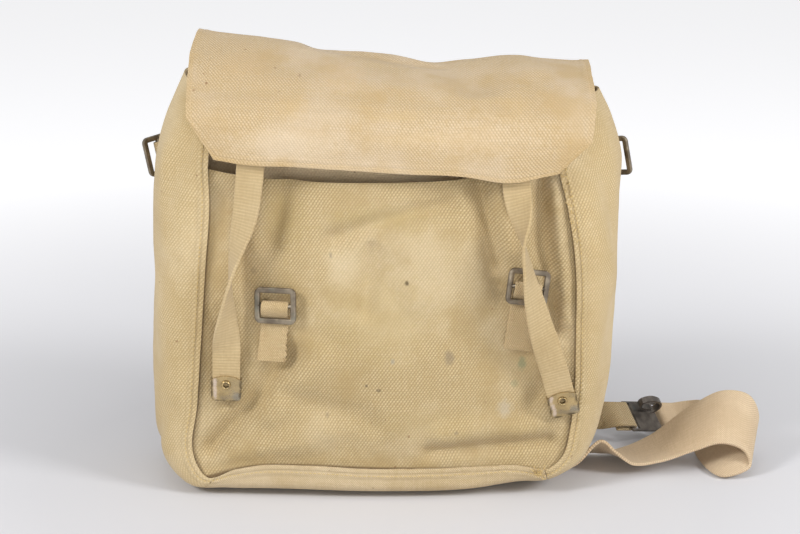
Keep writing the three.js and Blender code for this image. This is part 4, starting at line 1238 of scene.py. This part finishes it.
for side, rows in STRAPS.items():
    tip = softened_copy(f"strap_tip_{side}", f"strap_tip_{side}_brass", 1.0, 3)
    dress(tip, tip_brass, "aged_brass", f"strap_tip_{side}")
    mesh = bmesh.new()
    for face_way in (-1, 1):
        profile = []
        for radius, height in RIVET_PROFILE:
            profile.append(mesh.verts.new((radius, face_way * (TIP_FACE + height), 0)))
        runs = [mesh.edges.new(pair) for pair in zip(profile, profile[1:])]
        bmesh.ops.spin(
            mesh, geom=profile + runs, cent=(0, 0, 0), axis=(0, 1, 0), angle=math.tau,
            steps=RIVET_SEGMENTS, use_merge=True,
        )
    rims = [edge for edge in mesh.edges if edge.is_boundary and edge.verts[0].co.xz.length < 2]
    bmesh.ops.bridge_loops(mesh, edges=rims)
    bmesh.ops.recalc_face_normals(mesh, faces=mesh.faces)
    end_frame = strap_end_frame(rows) @ Matrix.Translation((0, 0, RIVET_HEIGHT))
    bmesh.ops.transform(mesh, matrix=end_frame, verts=mesh.verts)
    rivet = finished_object(f"tip_rivet_{side}_brass", mesh)
    dress(rivet, tip_brass, "aged_brass", f"tip_rivet_{side}")


# Front buckles and their tabs: cast brass frames with a middle bar, gone dark brown with age.
# Each hangs in a tab of doubled webbing that loops round the bar and is sewn to the front panel.
BUCKLE_WIDTH = 30
BUCKLE_HEIGHT = 26
BUCKLE_CORNER = 4.5
BUCKLE_RAIL = 4.0
BUCKLE_THICK = 3.0
RAIL_SEGMENTS = 20
CORNER_STEPS = 6
BAR_RADIUS = 1.5
BAR_SEGMENTS = 16
BAR_GAP = 0.4
TAB_LAYER = 1.4
TAB_WIDTH = 19.4
TAB_FRONT = 2.65
TAB_BACK = 4.15
TAB_LOOP = 6
TAB_STITCH_HALF = 7.5
TAB_STITCH_FOOT = 3
TAB_STITCH_TOP = BUCKLE_HEIGHT / 2 + 5
TAB_STITCH_STEPS = 20
TAB_STEPS = 240
TAB_GRID = (14, 150)
FRONT_BUCKLES = named_rows(
    "side x y z turn lean tilt skew length",
    ("left", -75.34, -59.12, 143.27, -11.5, 0, 2.3, 6, 41),
    ("right", 101.07, -54.57, 155.36, 7.8, 8, 2.8, 0, 46),
)

tab_web = cloth_material(
    "tab_webbing", thread=(0.68, 0.515, 0.29), gap=(0.42, 0.305, 0.15), pale=(0.62, 0.49, 0.30),
    brown=(0.42, 0.29, 0.13), across=1.5, along=1.0, shift=(0.8, 0.3, 0.5), fading=0.3, bump=0.7,
)
buckle_brass = metal_material(
    "buckle_brass", bright=(0.31, 0.26, 0.19), dark=(0.16, 0.13, 0.095), bloom=(0.18, 0.21, 0.18),
    bloom_share=0.4, roughness=0.42, metallic=0.75, scale=120.0,
)


def cast_buckle(name, place):
    """A frame swept round a rounded rectangle by turns of extrude and spin, with a round middle bar."""
    mesh = bmesh.new()
    half_x = BUCKLE_WIDTH / 2 - BUCKLE_CORNER
    half_z = BUCKLE_HEIGHT / 2 - BUCKLE_CORNER
    ring = bmesh.ops.create_circle(mesh, segments=RAIL_SEGMENTS, radius=1)["verts"]
    for vert in ring:
        flat_x, flat_y = signed_power(vert.co.x, 0.5), signed_power(vert.co.y, 0.5)
        vert.co = (flat_x * BUCKLE_RAIL / 2, flat_y * BUCKLE_THICK / 2, 0)
    bmesh.ops.translate(mesh, vec=((BUCKLE_WIDTH - BUCKLE_RAIL) / 2, 0, -half_z), verts=ring)
    edges = list(mesh.edges)
    runs = ((0, 2 * half_z), (-2 * half_x, 0), (0, -2 * half_z), (2 * half_x, 0))
    corners = ((half_x, half_z), (-half_x, half_z), (-half_x, -half_z), (half_x, -half_z))
    for (run_x, run_z), (corner_x, corner_z) in zip(runs, corners):
        grown = bmesh.ops.extrude_edge_only(mesh, edges=edges)["geom"]
        verts = [part for part in grown if isinstance(part, bmesh.types.BMVert)]
        bmesh.ops.translate(mesh, vec=(run_x, 0, run_z), verts=verts)
        edges = [edge for edge in mesh.edges if edge.verts[0] in verts and edge.verts[1] in verts]
        turned = bmesh.ops.spin(
            mesh, geom=verts + edges, cent=(corner_x, 0, corner_z), axis=(0, -1, 0),
            angle=math.pi / 2, steps=CORNER_STEPS,
        )
        edges = [part for part in turned["geom_last"] if isinstance(part, bmesh.types.BMEdge)]
    bmesh.ops.remove_doubles(mesh, verts=mesh.verts, dist=1e-3)
    bmesh.ops.create_cone(
        mesh, cap_ends=True, segments=BAR_SEGMENTS, radius1=BAR_RADIUS, radius2=BAR_RADIUS,
        depth=BUCKLE_WIDTH - BUCKLE_RAIL, matrix=Matrix.Rotation(math.pi / 2, 4, "Y"),
    )
    bmesh.ops.recalc_face_normals(mesh, faces=mesh.faces)
    bmesh.ops.transform(mesh, matrix=place, verts=mesh.verts)
    return finished_object(name, mesh)


def tab_path(length):
    """The tab's middle line from its sewn end up, round the bar and back down in front."""
    loop = BAR_RADIUS + BAR_GAP + TAB_LAYER / 2
    points = [(TAB_BACK, -length + length * 0.74 * k / 10) for k in range(11)]
    points += [(TAB_BACK - 0.3, -6.5), (TAB_BACK - 0.9, -3)]
    turns = [math.pi * k / 12 for k in range(13)]
    points += [(loop * math.cos(turn), loop * math.sin(turn)) for turn in turns]
    points += [(-loop + 0.1, -2), (-loop + 1.2, -4.6), (0.6, -7.2)]
    points += [(TAB_FRONT, -10 - (length - 10) * k / 10) for k in range(11)]
    curve = smooth_through(named_rows("x y z", *((0, y, z) for y, z in points)), "x y z")
    return even_path([curve(k / TAB_STEPS) for k in range(TAB_STEPS + 1)])


def webbing_tab(node, place, length, skew=0):
    """A doubled tab hanging in its own axes, and the box of stitches that holds its layers together."""
    path = tab_path(length)
    slant = math.tan(math.radians(skew))

    def tab_point(u, v):
        point = path(v)
        lower = smoothstep(10, length, -point.z)
        fraying = lower * (0.5 + 2.4 * smoothstep(0.6, 1, u))
        ragged = fraying * noise.noise(Vector((u * 3, v * 26, length)))
        point.x = (u - 0.5) * TAB_WIDTH * (1 + 0.04 * lower) + ragged + slant * point.z
        return (place @ point) / MM

    tab, _ = cloth_wall(node + "_web", *TAB_GRID, tab_point, thick=TAB_LAYER)
    foot, top = TAB_STITCH_FOOT - length, -TAB_STITCH_TOP
    left, right = -TAB_STITCH_HALF, TAB_STITCH_HALF
    corners = [(left, foot), (right, foot), (right, top), (left, top), (left, foot)]
    box = []
    outward = -(place.to_3x3() @ Vector((0, 1, 0))).normalized()
    for (x1, z1), (x2, z2) in zip(corners, corners[1:]):
        for k in range(TAB_STITCH_STEPS):
            x = x1 + (x2 - x1) * k / TAB_STITCH_STEPS
            z = z1 + (z2 - z1) * k / TAB_STITCH_STEPS
            spot = Vector((x + slant * z, TAB_FRONT - TAB_LAYER / 2, z))
            box.append((place @ spot, outward))
    stitches = sewn_thread(
        node + "_web_stitches", [box], pale_thread, step=2.8, length=2.1, thick=0.45, lift=0.0
    )
    flat = (TAB_WIDTH * MM, 2 * (length + TAB_LOOP) * MM)
    dress_cloth(tab, tab_web, "webbing", node, flat)


for row in FRONT_BUCKLES:
    axes = Matrix.Rotation(math.radians(row["turn"]), 4, "Z")
    axes = axes @ Matrix.Rotation(math.radians(row["lean"]), 4, "Y")
    axes = axes @ Matrix.Rotation(math.radians(-row["tilt"]), 4, "X")
    place = placed((row["x"], row["y"], row["z"]), axes)
    node = f"front_buckle_{row['side']}"
    dress(cast_buckle(node + "_brass", place), buckle_brass, "aged_brass", node)
    webbing_tab(f"buckle_tab_{row['side']}", place, row["length"], row["skew"])


# Side buckles and their tabs: the same castings on tabs sewn at the back upper corners.
# Each swings freely on its middle bar, so it rides on a body of its own.
SIDE_BUCKLES = named_rows(
    "side x z outward lean length",
    ("left", -168, 229, -1, -11, 45),
    ("right", 173, 228, 1, 11, 45),
)
SIDE_BUCKLE_SWING = math.radians(-40)
SIDE_BAR_DEPTH = 58.5
TOWARDS_BAG = Vector((0, -1, 0))
for row in SIDE_BUCKLES:
    lean = math.radians(row["lean"])
    away = Vector((row["outward"] * math.cos(lean), 0, math.sin(lean)))
    axes = Matrix((TOWARDS_BAG.cross(away), TOWARDS_BAG, away)).transposed()
    place = placed((row["x"], SIDE_BAR_DEPTH, row["z"]), axes)
    node = f"side_buckle_{row['side']}"
    buckle = cast_buckle(node + "_brass", place @ Matrix.Rotation(SIDE_BUCKLE_SWING, 4, "X"))
    dress(buckle, buckle_brass, "aged_brass", node, body=f"{row['side']}_side_buckle")
    webbing_tab(f"side_tab_{row['side']}", place, row["length"])


# Carrying strap, short lower tab and hook plate: a wide web sewn under the lower right corner lies in
# a loose curl and folds through one slot of a dark plate; the short tab from the back folds through
# the other slot. A curled hook stands on the plate's face.
PLATE_CENTRE = Vector((204, 72, 17.4))
PLATE_HEADING = 115
PLATE_RISE = 40
PLATE_ROLL = 15
PLATE_THICK = 2
PLATE_LENGTH = 40
PLATE_BAR = 2.2
PLATE_WEB = 22
FOLD_RUN = 14
FOLD_GAP = 0.8
WEB_STEPS = 900
CARRYING_GRID = (30, 260)
CARRYING_FLAT = (0.05, 0.37)
LOWER_GRID = (18, 140)
LOWER_FLAT = (PLATE_WEB * MM, 0.135)
WEB_COLUMNS = "x y z rise heading width"
CARRYING_ROWS = named_rows(
    WEB_COLUMNS,
    (112, 6, 3.6, 0, 90, 50),
    (141, 7, 6.6, -9, 90, 50),
    (159.5, 8, 15.5, -29, 92, 50),
    (169, 7, 11.4, -20, 94, 50),
    (182, 9, 7.2, -7, 94, 50),
    (204, 12, 12.5, 3, 90, 50),
    (231, 11, 28.5, 21, 86, 50),
    (253, 9, 38.5, 33, 80, 50),
    (271, 6, 34.5, 37, 76, 50),
    (276, 3, 20, 30, 72, 49),
    (259, -2, 11.4, 23, 62, 46),
    (252, 20, 15, 38, 32, 41),
    (248, 46, 17, 56, 16, 34),
    (250, 70, 17, 56, 24, 28),
    (245, 87, 14.6, 48, 66, 24),
)
LOWER_TAB_ROWS = named_rows(
    WEB_COLUMNS,
    (112, 56.2, 30, 90, 110, PLATE_WEB),
    (140, 59.5, 26.5, 86, 110, PLATE_WEB),
    (160, 57.5, 23.5, 68, 112, PLATE_WEB),
)


def cross_direction(rise, heading):
    """The way across a web that rises and heads by some degrees."""
    rise, heading = math.radians(rise), math.radians(heading)
    level = math.cos(rise)
    return Vector((level * math.cos(heading), level * math.sin(heading), math.sin(rise)))


plate_up = cross_direction(PLATE_RISE, PLATE_HEADING)
plate_roll = Matrix.Rotation(math.radians(PLATE_ROLL), 3, plate_up)
plate_along = plate_roll @ cross_direction(0, PLATE_HEADING - 90)
plate_axes = Matrix((plate_along, plate_up, plate_along.cross(plate_up))).transposed()


def folded_end(end):
    """Rows that carry a web on through a plate slot: along the front, round the bar and back behind."""
    bar = end * (PLATE_LENGTH / 2 - PLATE_BAR / 2)
    radius = PLATE_THICK / 2 + FOLD_GAP + WEBBING / 2
    places = [(bar + end * FOLD_RUN, radius), (bar + end * FOLD_RUN / 2, radius)]
    for angle in range(0, 181, 45):
        turn = math.radians(angle)
        places.append((bar - end * radius * math.sin(turn), radius * math.cos(turn)))
    places += [(bar + end * FOLD_RUN / 2, -radius), (bar + end * FOLD_RUN, -radius)]
    rows = []
    for along, out in places:
        point = PLATE_CENTRE + plate_axes @ Vector((along, 0, out))
        rows.append((*point, PLATE_RISE, PLATE_HEADING, PLATE_WEB))
    return named_rows(WEB_COLUMNS, *rows)


def crumple(point, left, right, low, high):
    """Creases of the short tab where it has been squashed between the bag and the plate."""
    loose = smoothstep(30, 46, low) * smoothstep(42, 56, high)
    return loose * (waves(point, 4.2, 12) + waves(point, 1.8, 6))


def web_place(rows):
    """A web along the middle line of a table, at even steps, with its slant and width from the table."""
    centre_line = smooth_through(rows, "x y z")
    shape_line = smooth_through(rows, "rise heading width")
    points = [centre_line(k / WEB_STEPS) for k in range(WEB_STEPS + 1)]
    lengths = run_lengths(points)

    def place(u, v):
        step, part = step_at(lengths, v)
        rise, heading, width = shape_line((step - 1 + part) / WEB_STEPS)
        middle = points[step - 1].lerp(points[step], part)
        return middle + cross_direction(rise, heading) * ((u - 0.5) * width)

    return place


carrying_web = cloth_material(
    "carrying_webbing", thread=(0.80, 0.628, 0.418), gap=(0.47, 0.335, 0.196), pale=(0.73, 0.59, 0.418),
    brown=(0.48, 0.34, 0.195), across=1.5, along=0.8, shift=(0.6, 0.1, 0.4), fading=0.35, bump=0.45,
)
carrying_place = web_place(CARRYING_ROWS + folded_end(1))
carrying_strap, _ = cloth_wall("carrying_strap_web", *CARRYING_GRID, carrying_place, thick=WEBBING)
dress_cloth(carrying_strap, carrying_web, "webbing", "carrying_strap", CARRYING_FLAT)
lower_web = cloth_material(
    "lower_webbing", thread=(0.52, 0.40, 0.225), gap=(0.25, 0.18, 0.09), pale=(0.50, 0.395, 0.24),
    brown=(0.36, 0.25, 0.11), across=1.6, along=1.1, shift=(0.4, 0.7, 0.1),
    fading=0.3, bump=0.8, grime=0.6,
)
lower_place = web_place(LOWER_TAB_ROWS + folded_end(-1))
lower_tab, _ = cloth_wall("lower_tab_web", *LOWER_GRID, lower_place, crumple, WEBBING)
dress_cloth(lower_tab, lower_web, "webbing", "lower_tab", LOWER_FLAT)

plate_metal = metal_material(
    "plate_metal", bright=(0.22, 0.193, 0.165), dark=(0.12, 0.104, 0.09), bloom=(0.14, 0.20, 0.20),
    bloom_share=0.3, roughness=0.42, metallic=0.7, scale=110.0,
)
hook_plate = softened_copy("hook_plate", "hook_plate_metal", 0.4)
dress(hook_plate, plate_metal, "dark_brass", "hook_plate")
